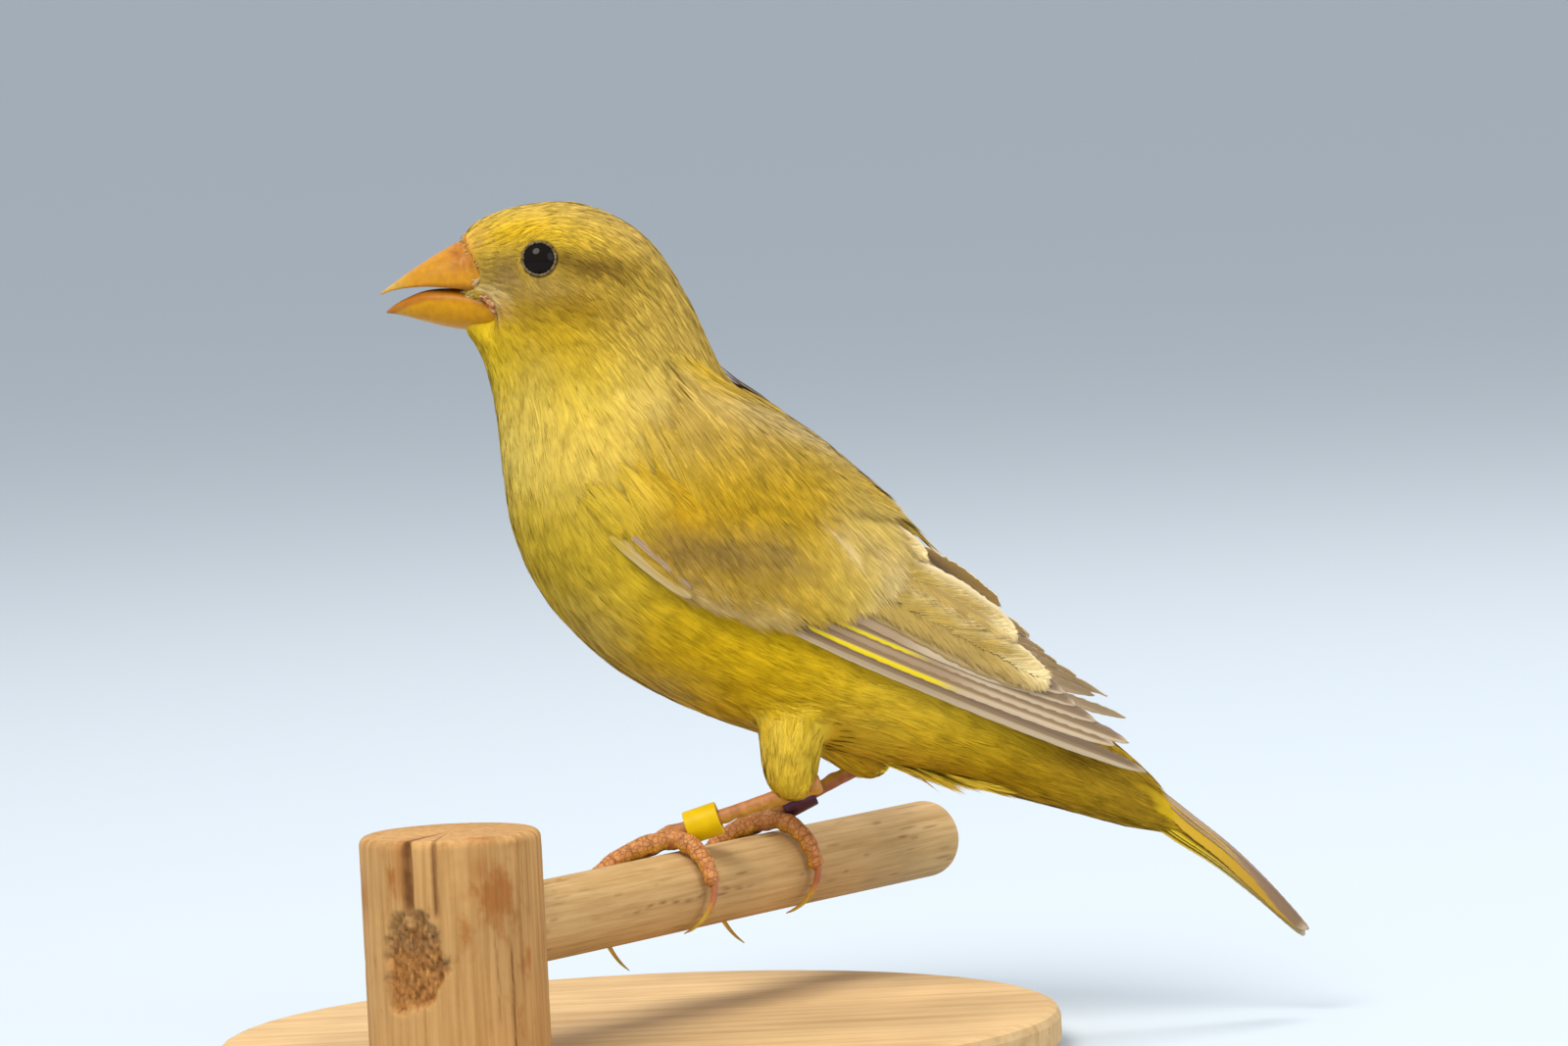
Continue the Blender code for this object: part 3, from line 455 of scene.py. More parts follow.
# Soft patches of colour on the coat: x, distance from the middle plane, z, radii, colour, strength
PATCHES = (
    ((-17, 0, 103), (13, 9, 6.0), (0.55, 0.37, 0.068), 0.95),
    ((-7, 0, 98), (9, 9, 8), (0.54, 0.36, 0.09), 0.85),
    ((-3, 4, 89), (6, 8, 8), (0.50, 0.33, 0.07), 0.8),
    ((-27.0, 0, 99.6), (4.5, 5, 2.2), (0.70, 0.50, 0.11), 0.8),
    ((-21.5, 4, 98.2), (6.5, 4, 1.7), (0.70, 0.43, 0.002), 1.0),
    ((-10.5, 8, 95.2), (6.5, 4, 2.0), (0.42, 0.26, 0.016), 0.8),
    ((-8.0, 9, 89.5), (8, 5, 4.0), (0.54, 0.36, 0.06), 0.7),
    ((-23.8, 5.5, 93.9), (3.3, 4, 2.7), (0.190, 0.115, 0.038), 1.0),
    ((-19.0, 8, 92.7), (3.4, 4, 1.4), (0.30, 0.20, 0.060), 0.9),
    ((-15.8, 8, 91.0), (4.4, 5, 1.6), (0.22, 0.115, 0.006), 0.9),
    ((-22.2, 7, 90.7), (3.4, 5, 1.5), (0.24, 0.135, 0.016), 0.95),
    ((-13.6, 8, 95.6), (4.4, 4, 1.3), (0.125, 0.066, 0.009), 1.0),
    ((-20.0, 8, 87.6), (5.8, 5, 3.0), (0.46, 0.28, 0.004), 0.9),
    ((-21.4, 6, 83.4), (3.0, 6, 3.6), (0.42, 0.30, 0.055), 0.7),
    ((-25.4, 3, 84.0), (2.4, 6, 4.5), (0.66, 0.46, 0.012), 0.8),
    ((-13.0, 8, 82.5), (5, 6, 2.4), (0.62, 0.43, 0.02), 0.75),
    ((-7.5, 9, 81.0), (5, 7, 4.0), (0.66, 0.47, 0.12), 0.8),
    ((-23, 5, 75.5), (7, 10, 5.5), (0.69, 0.53, 0.12), 0.85),
    ((-15, 12, 74), (7, 8, 6), (0.66, 0.46, 0.09), 0.7),
    ((-20, 9, 65), (7, 8, 7), (0.42, 0.30, 0.022), 0.8),
    ((-13, 13, 62), (6, 8, 6), (0.52, 0.36, 0.02), 0.8),
    ((-18, 7, 55), (4, 6, 5), (0.46, 0.37, 0.12), 0.55),
    ((-11, 4, 47), (5, 8, 2.6), (0.40, 0.33, 0.16), 0.5),
    ((4, 9, 39.5), (7, 7, 2.2), (0.46, 0.36, 0.12), 0.4),
    ((2, 14, 50), (12, 8, 7), (0.62, 0.40, 0.006), 0.85),
    ((20, 12, 44), (9, 8, 5), (0.70, 0.47, 0.03), 0.85),
    ((2, 6, 76), (8, 12, 7), (0.40, 0.25, 0.06), 0.9),
    ((14, 5, 68), (8, 8, 6), (0.42, 0.28, 0.08), 0.85),
    ((30, 3, 52), (10, 8, 5), (0.50, 0.32, 0.03), 0.7),
    # Undertail and vent: olive of their own, darkened with painted shade of the underside
    ((38, 5, 36), (9, 6, 5), (0.26, 0.135, 0.009), 0.85),
    ((46, 2, 30), (6, 6, 5), (0.25, 0.13, 0.009), 0.85),
    ((36, 0, 28.5), (14, 6, 2.6), (0.30, 0.17, 0.010), 0.7),
    ((26, 5, 32.0), (7, 6, 4), (0.36, 0.205, 0.004), 0.8),
    ((9, 10, 36), (4.5, 5, 5), (0.64, 0.45, 0.045), 0.85),
    ((8.2, 9.4, 29.8), (3.2, 4, 1.6), (0.42, 0.22, 0.05), 0.8),
    ((18.6, 10.0, 32.6), (2.6, 4, 2.4), (0.48, 0.25, 0.03), 0.8),
    ((-25.6, 4.4, 92.2), (1.1, 3, 0.7), (0.60, 0.45, 0.20), 0.85),
    ((-24.9, 5.2, 90.6), (0.8, 3, 0.9), (0.50, 0.27, 0.09), 0.8),
    ((-27.4, 3.5, 97.6), (0.9, 3, 1.4), (0.50, 0.26, 0.07), 0.7),
)


def body_colour(places):
    """The coat's marking at each place, from soft patches over the yellow ground."""
    places = np.asarray(places, float)
    colour = np.tile(np.array(YELLOW), (len(places), 1))
    for centre, radii, tint, strength in PATCHES:
        offset = places - np.array(centre)
        offset[:, 1] = np.abs(places[:, 1]) - centre[1]
        near = ((offset / np.array(radii)) ** 2).sum(axis=1)
        share = (strength * np.exp(-0.7 * near))[:, None]
        colour = colour * (1 - share) + np.array(tint) * share
    return colour


def streaks(places):
    """How dark the middle of each feather is: most on the crown, nape and back."""
    x, y, z = np.asarray(places, float).T
    crown = np.exp(-(((x + 14) / 12) ** 2 + ((z - 100) / 8) ** 2))
    nape = np.exp(-(((x + 4) / 8) ** 2 + ((z - 90) / 9) ** 2))
    back = np.exp(-(((x - 12) / 14) ** 2 + ((z - 70) / 9) ** 2))
    rump = np.exp(-(((x - 40) / 9) ** 2 + ((z - 38) / 5) ** 2))
    ear = np.exp(-(((x + 11) / 6) ** 2 + ((z - 91) / 6) ** 2))
    return np.clip(0.5 * crown + 0.42 * nape + 0.3 * back + 0.35 * rump + 0.3 * ear, 0.03, 0.55)


FLOW = Flow()
hull = make_hull()
HULL_TREE = tree_of(hull)


# Feathers as fans of fine barbs

STEPS = np.array([0.0, 0.36, 0.72, 1.0])
BARB_TAPER = np.array([0.9, 1.0, 0.78])


class Coat:
    """Gathers feathers and lays them as joined meshes of barbs."""

    def __init__(self, tree, flow):
        self.tree = tree
        self.flow = flow
        self.rows = []

    def add(self, piece, root, length, width, barbs, colour, streak, low, high, uv, barb_width, tip=None, curl=0.0, ragged=0.16):
        """Plans one feather. low and high are its heights over the surface at root and tip."""
        centres, normals, lefts, rights = [], [], [], []
        place = root
        for _ in STEPS:
            laid, normal, _, _ = self.tree.find_nearest(place)
            if laid is None:
                return False
            line = self.flow(laid)
            line = line - normal * line.dot(normal)
            if line.length < 1e-6:
                return False
            line.normalize()
            across = normal.cross(line)
            line = (line + across * curl).normalized()
            centres.append(laid)
            normals.append(normal)
            lefts.append(self.tree.find_nearest(laid - across * width)[0])
            rights.append(self.tree.find_nearest(laid + across * width)[0])
            place = laid + line * (length / (len(STEPS) - 1))
        self.rows.append((piece, lefts, centres, rights, normals, barbs, colour, streak, low, high, uv, barb_width, tip, ragged))
        return True

    def build(self, piece, finish, rounded=0.32):
        """One joined mesh of all barbs of the feathers planned for the piece."""
        rows = [row for row in self.rows if row[0] == piece]
        grid = np.array([[row[1], row[2], row[3]] for row in rows], float).transpose(0, 2, 1, 3)
        normal = np.array([row[4] for row in rows], float)
        counts = np.array([row[5] for row in rows])
        owner = np.repeat(np.arange(len(rows)), counts)
        total = len(owner)
        order = np.concatenate([np.arange(c) for c in counts])
        side = (order + random.uniform(0.1, 0.9, total)) / counts[owner] * 2 - 1
        start = 0.02 + random.uniform(0, 0.5, total) * (1 - 0.5 * np.abs(side))
        end = 1.0 - rounded * side**2 - random.uniform(0, 1, total) * np.array([row[13] for row in rows])[owner]
        start = np.maximum(np.minimum(start, end - 0.35), 0.0)
        bow = random.normal(0, 0.08, total)
        lift = random.normal(0, 0.03, total)
        places = np.zeros((total, 4, 3))
        aways = np.zeros((total, 4, 3))
        alongs = np.zeros((total, 4))
        low = np.array([row[8] for row in rows])[owner]
        high = np.array([row[9] for row in rows])[owner]
        for k, t in enumerate(STEPS):
            v = start + (end - start) * t
            u = side * (0.25 + 0.75 * (v**0.8)) * (0.35 + 0.65 * t**0.7) + bow * t * t
            alongs[:, k] = v
            row = np.clip(v * 3, 0, 2.999)
            i = row.astype(int)
            f = (row - i)[:, None]
            left = grid[owner, i, 0] * (1 - f) + grid[owner, i + 1, 0] * f
            middle = grid[owner, i, 1] * (1 - f) + grid[owner, i + 1, 1] * f
            right = grid[owner, i, 2] * (1 - f) + grid[owner, i + 1, 2] * f
            out = normal[owner, i] * (1 - f) + normal[owner, i + 1] * f
            u = u[:, None]
            point = np.where(u < 0, middle + (left - middle) * -u, middle + (right - middle) * u)
            crown = 0.05 * (1 - side**2)
            height = low + (high - low) * v**1.1 + crown * v + lift * v
            places[:, k] = point + out * height[:, None]
            aways[:, k] = out
        lines = np.gradient(places, axis=1)
        across = np.cross(aways, lines)
        across /= np.maximum(np.linalg.norm(across, axis=2, keepdims=True), 1e-9)
        roll = random.normal(0, 0.14, total)[:, None, None]
        across = across + aways * roll
        width = np.array([row[11] for row in rows])[owner] * random.uniform(0.7, 1.3, total)
        verts = np.zeros((total, 7, 3))
        for k in range(3):
            half = across[:, k] * (width * BARB_TAPER[k] / 2)[:, None]
            verts[:, 2 * k] = places[:, k] - half
            verts[:, 2 * k + 1] = places[:, k] + half
        verts[:, 6] = places[:, 3]
        base = np.array([row[6] for row in rows])[owner]
        streak = np.array([row[7] for row in rows])[owner]
        feather_tone = random.normal(1, 0.035, len(rows))[owner]
        dark_hair = random.uniform(0, 1, total) < 0.08 + 0.65 * streak
        tone = feather_tone * random.normal(1, 0.07, total) * np.where(dark_hair, 0.84 - 0.22 * streak, 1.04 + 0.2 * streak)
        middle_dark = 0.75 * streak * np.exp(-((side / 0.24) ** 2))
        colour = np.zeros((total, 7, 3))
        tips = np.array([row[12] if row[12] is not None else row[6] for row in rows])[owner]
        for k in range(7):
            v = alongs[:, min(k // 2, 3)][:, None]
            shade = 0.97 + 0.03 * smoothstep(0.1, 0.6, v)
            mixed = base * (1 - middle_dark[:, None]) + np.array(SHAFT) * middle_dark[:, None]
            share = smoothstep(0.62, 0.95, v) * 0.85
            mixed = mixed * (1 - share) + tips * share
            colour[:, k] = mixed * shade * tone[:, None]
        first = (np.arange(total) * 7)[:, None]
        quads = np.concatenate([first + np.array([0, 2, 3, 1]), first + np.array([2, 4, 5, 3])])
        tris = first + np.array([4, 6, 5])
        data = bpy.data.meshes.new(piece)
        loops = np.concatenate([quads.ravel(), tris.ravel()])
        data.vertices.add(total * 7)
        data.vertices.foreach_set("co", (verts * MM).ravel())
        data.loops.add(len(loops))
        data.loops.foreach_set("vertex_index", loops)
        data.polygons.add(len(quads) + len(tris))
        starts = np.concatenate([np.arange(len(quads)) * 4, len(quads) * 4 + np.arange(len(tris)) * 3])
        data.polygons.foreach_set("loop_start", starts)
        data.polygons.foreach_set("use_smooth", np.ones(len(starts), bool))
        data.update(calc_edges=True)
        data.validate()
        layer = data.color_attributes.new("plumage", "FLOAT_COLOR", "POINT")
        flat = np.ones((total * 7, 4))
        flat[:, :3] = np.clip(colour.reshape(-1, 3), 0, 1)
        layer.data.foreach_set("color", flat.ravel())
        data.shade_smooth()
        soft = aways[:, (0, 0, 1, 1, 2, 2, 3)] + (across[:, (0, 0, 1, 1, 2, 2, 3)] * (0.30 * side + bow)[:, None, None])
        soft /= np.linalg.norm(soft, axis=2, keepdims=True)
        data.normals_split_custom_set_from_vertices(soft.reshape(-1, 3))
        data.materials.append(finish)
        obj = bpy.data.objects.new(piece, data)
        bpy.context.scene.collection.objects.link(obj)
        uv_root = np.array([row[10] for row in rows])[owner]
        patch = np.zeros((total, 7, 2))
        for k in range(7):
            patch[:, k, 0] = uv_root[:, 0] + PATCH * (side * 0.5 + (0.04 if k % 2 else -0.04))
            patch[:, k, 1] = uv_root[:, 1] + PATCH * (alongs[:, min(k // 2, 3)] - 0.5)
        set_uv(obj, "OFBake", patch.reshape(-1, 2))
        return obj


PATCH = 0.003


def plumage_material(name, rough=0.66, sheen=0.0):
    made = Nodes(name)
    colour = made.add("ShaderNodeAttribute", attribute_name="plumage").outputs["Color"]
    blotch = made.ramp(made.noise(420, 3), (0.3, 0.86), (0.7, 1.1))
    colour = made.mix(1.0, colour, blotch, "MULTIPLY")
    made.finish(Base_Color=colour, Roughness=rough, Specular_IOR_Level=0.06, Sheen_Weight=sheen)
    return made.material


PLUMAGE = plumage_material("coat_plumage")
SKIN = plumage_material("skin_under_coat", 0.8, 0.0)


def scatter(tree_mesh, spacing_of, keep):
    """Places spread over the mesh, none nearer to another than the local spacing."""
    data = tree_mesh.data
    points = mesh_points(tree_mesh)
    data.calc_loop_triangles()
    flat = np.empty(len(data.loop_triangles) * 3, int)
    data.loop_triangles.foreach_get("vertices", flat)
    tris = flat.reshape(-1, 3)
    a, b, c = points[tris[:, 0]], points[tris[:, 1]], points[tris[:, 2]]
    area = np.linalg.norm(np.cross(b - a, c - a), axis=1) / 2
    spacing = spacing_of((a + b + c) / 3)
    chance = area / spacing**2
    count = int(chance.sum() * 5.0)
    picked = random.choice(len(tris), count, p=chance / chance.sum())
    r1, r2 = np.sqrt(random.uniform(size=count)), random.uniform(size=count)
    places = a[picked] * (1 - r1)[:, None] + b[picked] * (r1 * (1 - r2))[:, None] + c[picked] * (r1 * r2)[:, None]
    gaps = spacing[picked]
    cell = 1.0
    taken = {}
    chosen = []
    for place, gap in zip(places, gaps):
        if not keep(place):
            continue
        key = tuple((place // cell).astype(int))
        reach = int(math.ceil(gap / cell))
        near = False
        for dx in range(-reach, reach + 1):
            for dy in range(-reach, reach + 1):
                for dz in range(-reach, reach + 1):
                    for other in taken.get((key[0] + dx, key[1] + dy, key[2] + dz), ()):
                        if (other[0] - place[0]) ** 2 + (other[1] - place[1]) ** 2 + (other[2] - place[2]) ** 2 < gap * gap:
                            near = True
                            break
                    if near:
                        break
                if near:
                    break
            if near:
                break
        if not near:
            taken.setdefault(key, []).append(place)
            chosen.append(place)
    return chosen


def coat_scale(places):
    """From 0 at the bill's base to 1 on the body: how large the feathers are."""
    places = np.asarray(places, float)
    from_bill = np.linalg.norm((places - np.array((-27.0, 0.0, 92.5))) * np.array((1, 1.3, 1)), axis=-1)
    from_eye = np.linalg.norm((places - np.array((-18.9, 0.0, 95.7))) * np.array((1, 0, 1)), axis=-1)
    scale = np.clip((from_bill - 2) / 32, 0, 1)
    scale = np.minimum(scale, np.clip(from_eye / 26, 0.02, 1))
    low_leg = smoothstep(36.5, 31.0, places[..., 2]) * smoothstep(26, 20, places[..., 0])
    return scale * (1 - 0.6 * low_leg)


def spacing_of(places):
    return 0.37 + 0.77 * coat_scale(places)


def depth_of(places):
    scale = coat_scale(places)
    return FACE_DEPTH * smoothstep(0, 0.12, scale) + (COAT_DEPTH - FACE_DEPTH) * smoothstep(0.15, 0.8, scale)


def inside(tree, place):
    """Whether the surface surrounds the place: lines ahead and up from it then leave through odd counts of walls."""
    for way in (Vector((-1, 0, 0)), Vector((0, 0, 1))):
        walls = 0
        wall = tree.ray_cast(place, way)[0]
        while wall is not None:
            walls += 1
            wall = tree.ray_cast(wall + way * 0.001, way)[0]
        if walls % 2 == 0:
            return False
    return True


def on_bill(place):
    """Whether the bill stands there, so that no feather grows."""
    place = Vector(place)
    if place.x > -22.0:
        return False
    for tree in BILL_TREES:
        if (place - tree.find_nearest(place)[0]).length < 0.16 or inside(tree, place):
            return True
    return False


def by_eye(place):
    side = "left" if place[1] < 0 else "right"
    seat, axis = eye_seat(side)
    offset = Vector(place) - seat
    flat = offset - axis * offset.dot(axis)
    return flat.length < EYE_OPEN + 0.36 and abs(place[1]) > 3


def wing_chart_of(place):
    """A place's coordinates in the chart of the wings: along the wing and up from its lower edge."""
    x, z = place[0] - WRIST[0], place[2] - WRIST[1]
    cos, sin = math.cos(WING_SLOPE), math.sin(WING_SLOPE)
    return x * cos + z * sin, -x * sin + z * cos


WRIST = (-9.0, 62.5)
WING_SLOPE = math.radians(-27.8)


def under_wing(place):
    along, up = wing_chart_of(place)
    return abs(place[1]) > 3.5 and 4 < along < 44 and 1.2 < up < 13.5 - 0.14 * along


def keep_feather(place):
    middle = 26.9 - 0.75 * (place[0] - 50.6)
    beside_tail = place[0] > 43.5 + 1.1 * abs(place[2] - middle - 0.6)
    return not (on_bill(place) or by_eye(place) or under_wing(place) or beside_tail or place[0] > 48.0)


COAT_PIECES = ("coat_face", "coat_crown", "coat_neck", "coat_back", "coat_breast_left", "coat_breast_right",
               "coat_belly", "coat_rump", "coat_thighs")


def piece_of(place, station):
    if station >= 100:
        return "coat_thighs"
    if station < 2.6:
        return "coat_face"
    if station < 4.6:
        return "coat_crown"
    if station < 6.6:
        return "coat_neck"
    if station > 12.0:
        return "coat_rump"
    if place[2] < 52 - 0.3 * place[0]:
        return "coat_belly"
    if place[0] > -8:
        return "coat_back"
    return "coat_breast_left" if place[1] < 0 else "coat_breast_right"


# The skin under the coat is lightened a little as painted light, against the shade in the gaps between feathers
SKIN_PAINTED_LIGHT = 1.03
# The span in x of the furrow between the wings, and the heights of the feathers over it
RIDGE_SPAN = (7.5, 21.0)
RIDGE_LOW, RIDGE_HIGH = 1.0, 1.7


def make_skin():
    places = mesh_points(hull)
    normals = mesh_normals(hull)
    # Skin colour lightened as painted light
    colours = np.minimum(body_colour(places) * SKIN_PAINTED_LIGHT, 1)
    data = hull.data.copy()
    skin = bpy.data.objects.new("skin", data)
    bpy.context.scene.collection.objects.link(skin)
    seats = places.copy()
    seats -= normals * depth_of(places)[:, None]
    for side in ("left", "right"):
        seat, axis = eye_seat(side)
        offset = places - np.array(seat)
        depth = offset @ np.array(axis)
        flat = offset - depth[:, None] * np.array(axis)
        near = np.linalg.norm(flat, axis=1)
        same = places[:, 1] * (-1 if side == "left" else 1) > 3
        sunk = smoothstep(EYE_OPEN + 0.35, EYE_OPEN - 0.25, near) * same
        seats -= sunk[:, None] * np.array(axis) * 1.6
    set_points(skin, seats)
    layer = skin.data.color_attributes.new("plumage", "FLOAT_COLOR", "POINT")
    flat = np.ones((len(places), 4))
    flat[:, :3] = colours
    layer.data.foreach_set("color", flat.ravel())
    skin.data.materials.clear()
    skin.data.materials.append(SKIN)
    skin.data.shade_smooth()
    marks = [FLOW.mark(Vector(p)) for p in places]
    set_uv(skin, "OFBake", [uv_of(*m) for m in marks])
    show(skin, "yellow_feathers", "head", "neck", "torso", "rump", "thigh_left", "thigh_right")
    return skin


def uv_of(station, turn):
    if station >= 100:
        return 0.86 + 0.06 * ((station - 100) // 20) + 0.05 * turn, 0.05 + 0.03 * ((station - 100) % 20)
    return 0.02 + 0.80 * turn, 0.02 + 0.95 * station / (len(BODY) - 1)


def grow_coat():
    coat = Coat(HULL_TREE, FLOW)
    roots = scatter(hull, spacing_of, keep_feather)
    roots_array = np.array(roots)
    scales = coat_scale(roots_array)
    depths = depth_of(roots_array)
    colours = body_colour(roots_array)
    darks = streaks(roots_array)
    for place, scale, depth, colour, dark in zip(roots, scales, depths, colours, darks):
        root = Vector(place)
        station, turn = FLOW.mark(root)
        piece = piece_of(place, station)
        length = (1.9 + 7.2 * scale**0.9) * random.uniform(0.85, 1.15)
        width = 0.42 + 1.15 * scale
        if piece == "coat_thighs":
            length, width, scale = 5.2 * random.uniform(0.85, 1.15), 1.1, 0.75
        barbs = int(17 + 21 * scale)
        high = random.uniform(-0.05, 0.08) * (0.35 + 0.65 * scale)
        if piece == "coat_thighs":
            high = random.uniform(-0.04, 0.14)
        coat.add(piece, root, length, width, barbs, colour, dark, -depth * 0.6, high, uv_of(station, turn),
                 0.085 + 0.105 * scale, curl=random.normal(0, 0.08), ragged=0.25)
    # A loose fringe hangs at the vent, its colour brightened as painted light
    for _ in range(95):
        below = Vector((random.uniform(16.0, 29.0), random.uniform(-6.5, 4.0), 27.0))
        root = HULL_TREE.find_nearest(below)[0]
        hang = 1.9 * math.exp(-(((root.x - 22.5) / 3.6) ** 2)) + 0.2
        coat.add("coat_belly", root, random.uniform(5.0, 7.0), 1.2, 26, FRINGE_PAINTED_LIGHT, 0.1, -0.1,
                 hang * random.uniform(0.3, 1.0), uv_of(*FLOW.mark(root)), 0.15, curl=random.normal(0, 0.12), ragged=0.3)
    # Feathers of the back close over the furrow between the wings
    for _ in range(120):
        above = Vector((random.uniform(*RIDGE_SPAN), random.normal(0, 0.9), 150.0))
        root = HULL_TREE.ray_cast(above, Vector((0, 0, -1)))[0]
        colour = body_colour([root])[0] * random.normal(1.0, 0.06)
        open_end = 0.8 * float(smoothstep(13.0, 20.0, root.x))
        front = float(smoothstep(RIDGE_SPAN[0], 12.0, root.x))
        low = RIDGE_LOW * front + 0.6 * open_end
        coat.add("coat_back", root, random.uniform(7.0, 9.0), 1.5, 32, colour, 0.25, low,
                 (RIDGE_HIGH * (0.6 + 0.4 * front) + open_end) * random.uniform(0.85, 1.1), uv_of(*FLOW.mark(root)), 0.16, curl=random.normal(0, 0.1), ragged=0.3)
    for piece in COAT_PIECES:
        obj = coat.build(piece, PLUMAGE)
        show(obj, "head_feathers" if piece in ("coat_face", "coat_crown", "coat_neck") else "yellow_feathers")


def bristle_lie(place):
    return Vector((-1.0, 0.0, -0.35))


def grow_bristles():
    """Short bristles that reach forward from the face over the root of the bill."""
    coat = Coat(HULL_TREE, bristle_lie)
    for _ in range(900):
        guess = Vector((random.uniform(-29.5, -24.5), random.uniform(-5.5, 5.5), random.uniform(90.5, 99.0)))
        root = HULL_TREE.find_nearest(guess)[0]
        gap = min(tree.find_nearest(root)[3] for tree in BILL_TREES)
        if not 0.16 < gap < 0.42:
            continue
        colour = mixed(np.array((0.50, 0.36, 0.18)), np.array((0.62, 0.44, 0.12)), smoothstep(94.5, 96.5, root.z))
        colour = colour * random.uniform(0.75, 1.15)
        coat.add("face_bristles", root, random.uniform(0.8, 1.5), 0.20, 7, colour, 0.0, 0.02,
                 random.uniform(0.2, 0.5), uv_of(*FLOW.mark(root)), 0.055, curl=random.normal(0, 0.4), ragged=0.4)
    show(coat.build("face_bristles", PLUMAGE), "head_feathers")


# Wings and tail


def side_of(table, x, z):
    """How far the lofted surface stands out from the middle plane at x and z."""
    across = table[:, 0:2] - table[:, 2:4]
    from_low = np.array([x, z]) - table[:, 2:4]
    off = (across[:, 0] * from_low[:, 1] - across[:, 1] * from_low[:, 0]) / np.linalg.norm(across, axis=1)
    i = int(np.argmin(np.abs(off)))
    up = 2 * float(from_low[i] @ across[i]) / float(across[i] @ across[i]) - 1
    return float(table[i, 4]) * math.sqrt(max(1 - up * up, 0.0004)) * (1 - 0.06 * up)


class Chart:
    """The wing's chart on one side: places along and up it, raised over the surface that the wing lies on."""

    low = (-8.0, -9.0)
    count = (84, 36)

    def __init__(self, side):
        self.side = side
        table = np.array([smooth_row(CLOAK, at) for at in np.linspace(0, len(CLOAK) - 1, 700)])
        grid = loft_grid(CLOAK, np.linspace(0, len(CLOAK) - 1, 90), 96)
        tree = BVHTree.FromPolygons([Vector(p) for p in grid.reshape(-1, 3)], grid_faces(90, 96))
        self.points = np.zeros((*self.count, 3))
        self.outs = np.zeros((*self.count, 3))
        cos, sin = math.cos(WING_SLOPE), math.sin(WING_SLOPE)
        for i in range(self.count[0]):
            for j in range(self.count[1]):
                along, up = self.low[0] + i, self.low[1] + j
                x = WRIST[0] + along * cos - up * sin
                z = WRIST[1] + along * sin + up * cos
                place, normal, _, _ = tree.find_nearest(Vector((x, side * side_of(table, x, z), z)))
                if normal.y * side < 0:
                    normal = -normal
                self.points[i, j] = place
                self.outs[i, j] = normal
        for _ in range(2):
            self.outs[1:-1, 1:-1] = (self.outs[:-2, 1:-1] + self.outs[2:, 1:-1] + self.outs[1:-1, :-2]
                                     + self.outs[1:-1, 2:] + 2 * self.outs[1:-1, 1:-1]) / 6
        self.outs /= np.linalg.norm(self.outs, axis=2, keepdims=True)

    def __call__(self, along, up, height):
        """Points for arrays of chart coordinates and heights."""
        along, up, height = (np.asarray(v, float) for v in np.broadcast_arrays(along, up, height))
        if self.side > 0:
            far = np.maximum(along, 0)
            along, up = np.where(along > 0, along * 0.935, along), up + far * far * 0.0009
        i = np.clip(along - self.low[0], 0, self.count[0] - 1.001)
        j = np.clip(up - self.low[1], 0, self.count[1] - 1.001)
        i0, j0 = i.astype(int), j.astype(int)
        u, v = (i - i0)[..., None], (j - j0)[..., None]

        def blend(field):
            return (field[i0, j0] * (1 - u) * (1 - v) + field[i0 + 1, j0] * u * (1 - v)
                    + field[i0, j0 + 1] * (1 - u) * v + field[i0 + 1, j0 + 1] * u * v)

        laid = blend(self.points) + blend(self.outs) * height[..., None]
        near = self.side * laid[..., 1] < 0.3
        laid[..., 1] = np.where(near, self.side * 0.3, laid[..., 1])
        return laid


OUTLINES = {
    "flight": ((0, 0.45), (0.25, 0.95), (0.6, 1), (0.82, 0.88), (0.94, 0.58), (0.985, 0.28), (1, 0.02)),
    "broad": ((0, 0.5), (0.35, 1), (0.7, 1), (0.88, 0.8), (0.96, 0.5), (1, 0.06)),
}
VANE_STEPS = 64
VANE_ACROSS = 17
VANE_THIN = 0.14


def outline_width(outline, share):
    rows = np.array(OUTLINES[outline])
    return np.interp(share, rows[:, 0], rows[:, 1])


def vane_faces(steps, across):
    faces = []
    for layer in (0, 1):
        first = layer * steps * across
        for i in range(steps - 1):
            for j in range(across - 1):
                a = first + i * across + j
                face = (a, a + 1, a + across + 1, a + across)
                faces.append(face if layer == 0 else face[::-1])
    other = steps * across
    for i in range(steps - 1):
        for j in (0, across - 1):
            a = i * across + j
            face = (a, a + across, a + across + other, a + other)
            faces.append(face if j == 0 else face[::-1])
    for i in (0, steps - 1):
        for j in range(across - 1):
            a = i * across + j
            face = (a, a + other, a + 1 + other, a + 1)
            faces.append(face if i == 0 else face[::-1])
    return faces


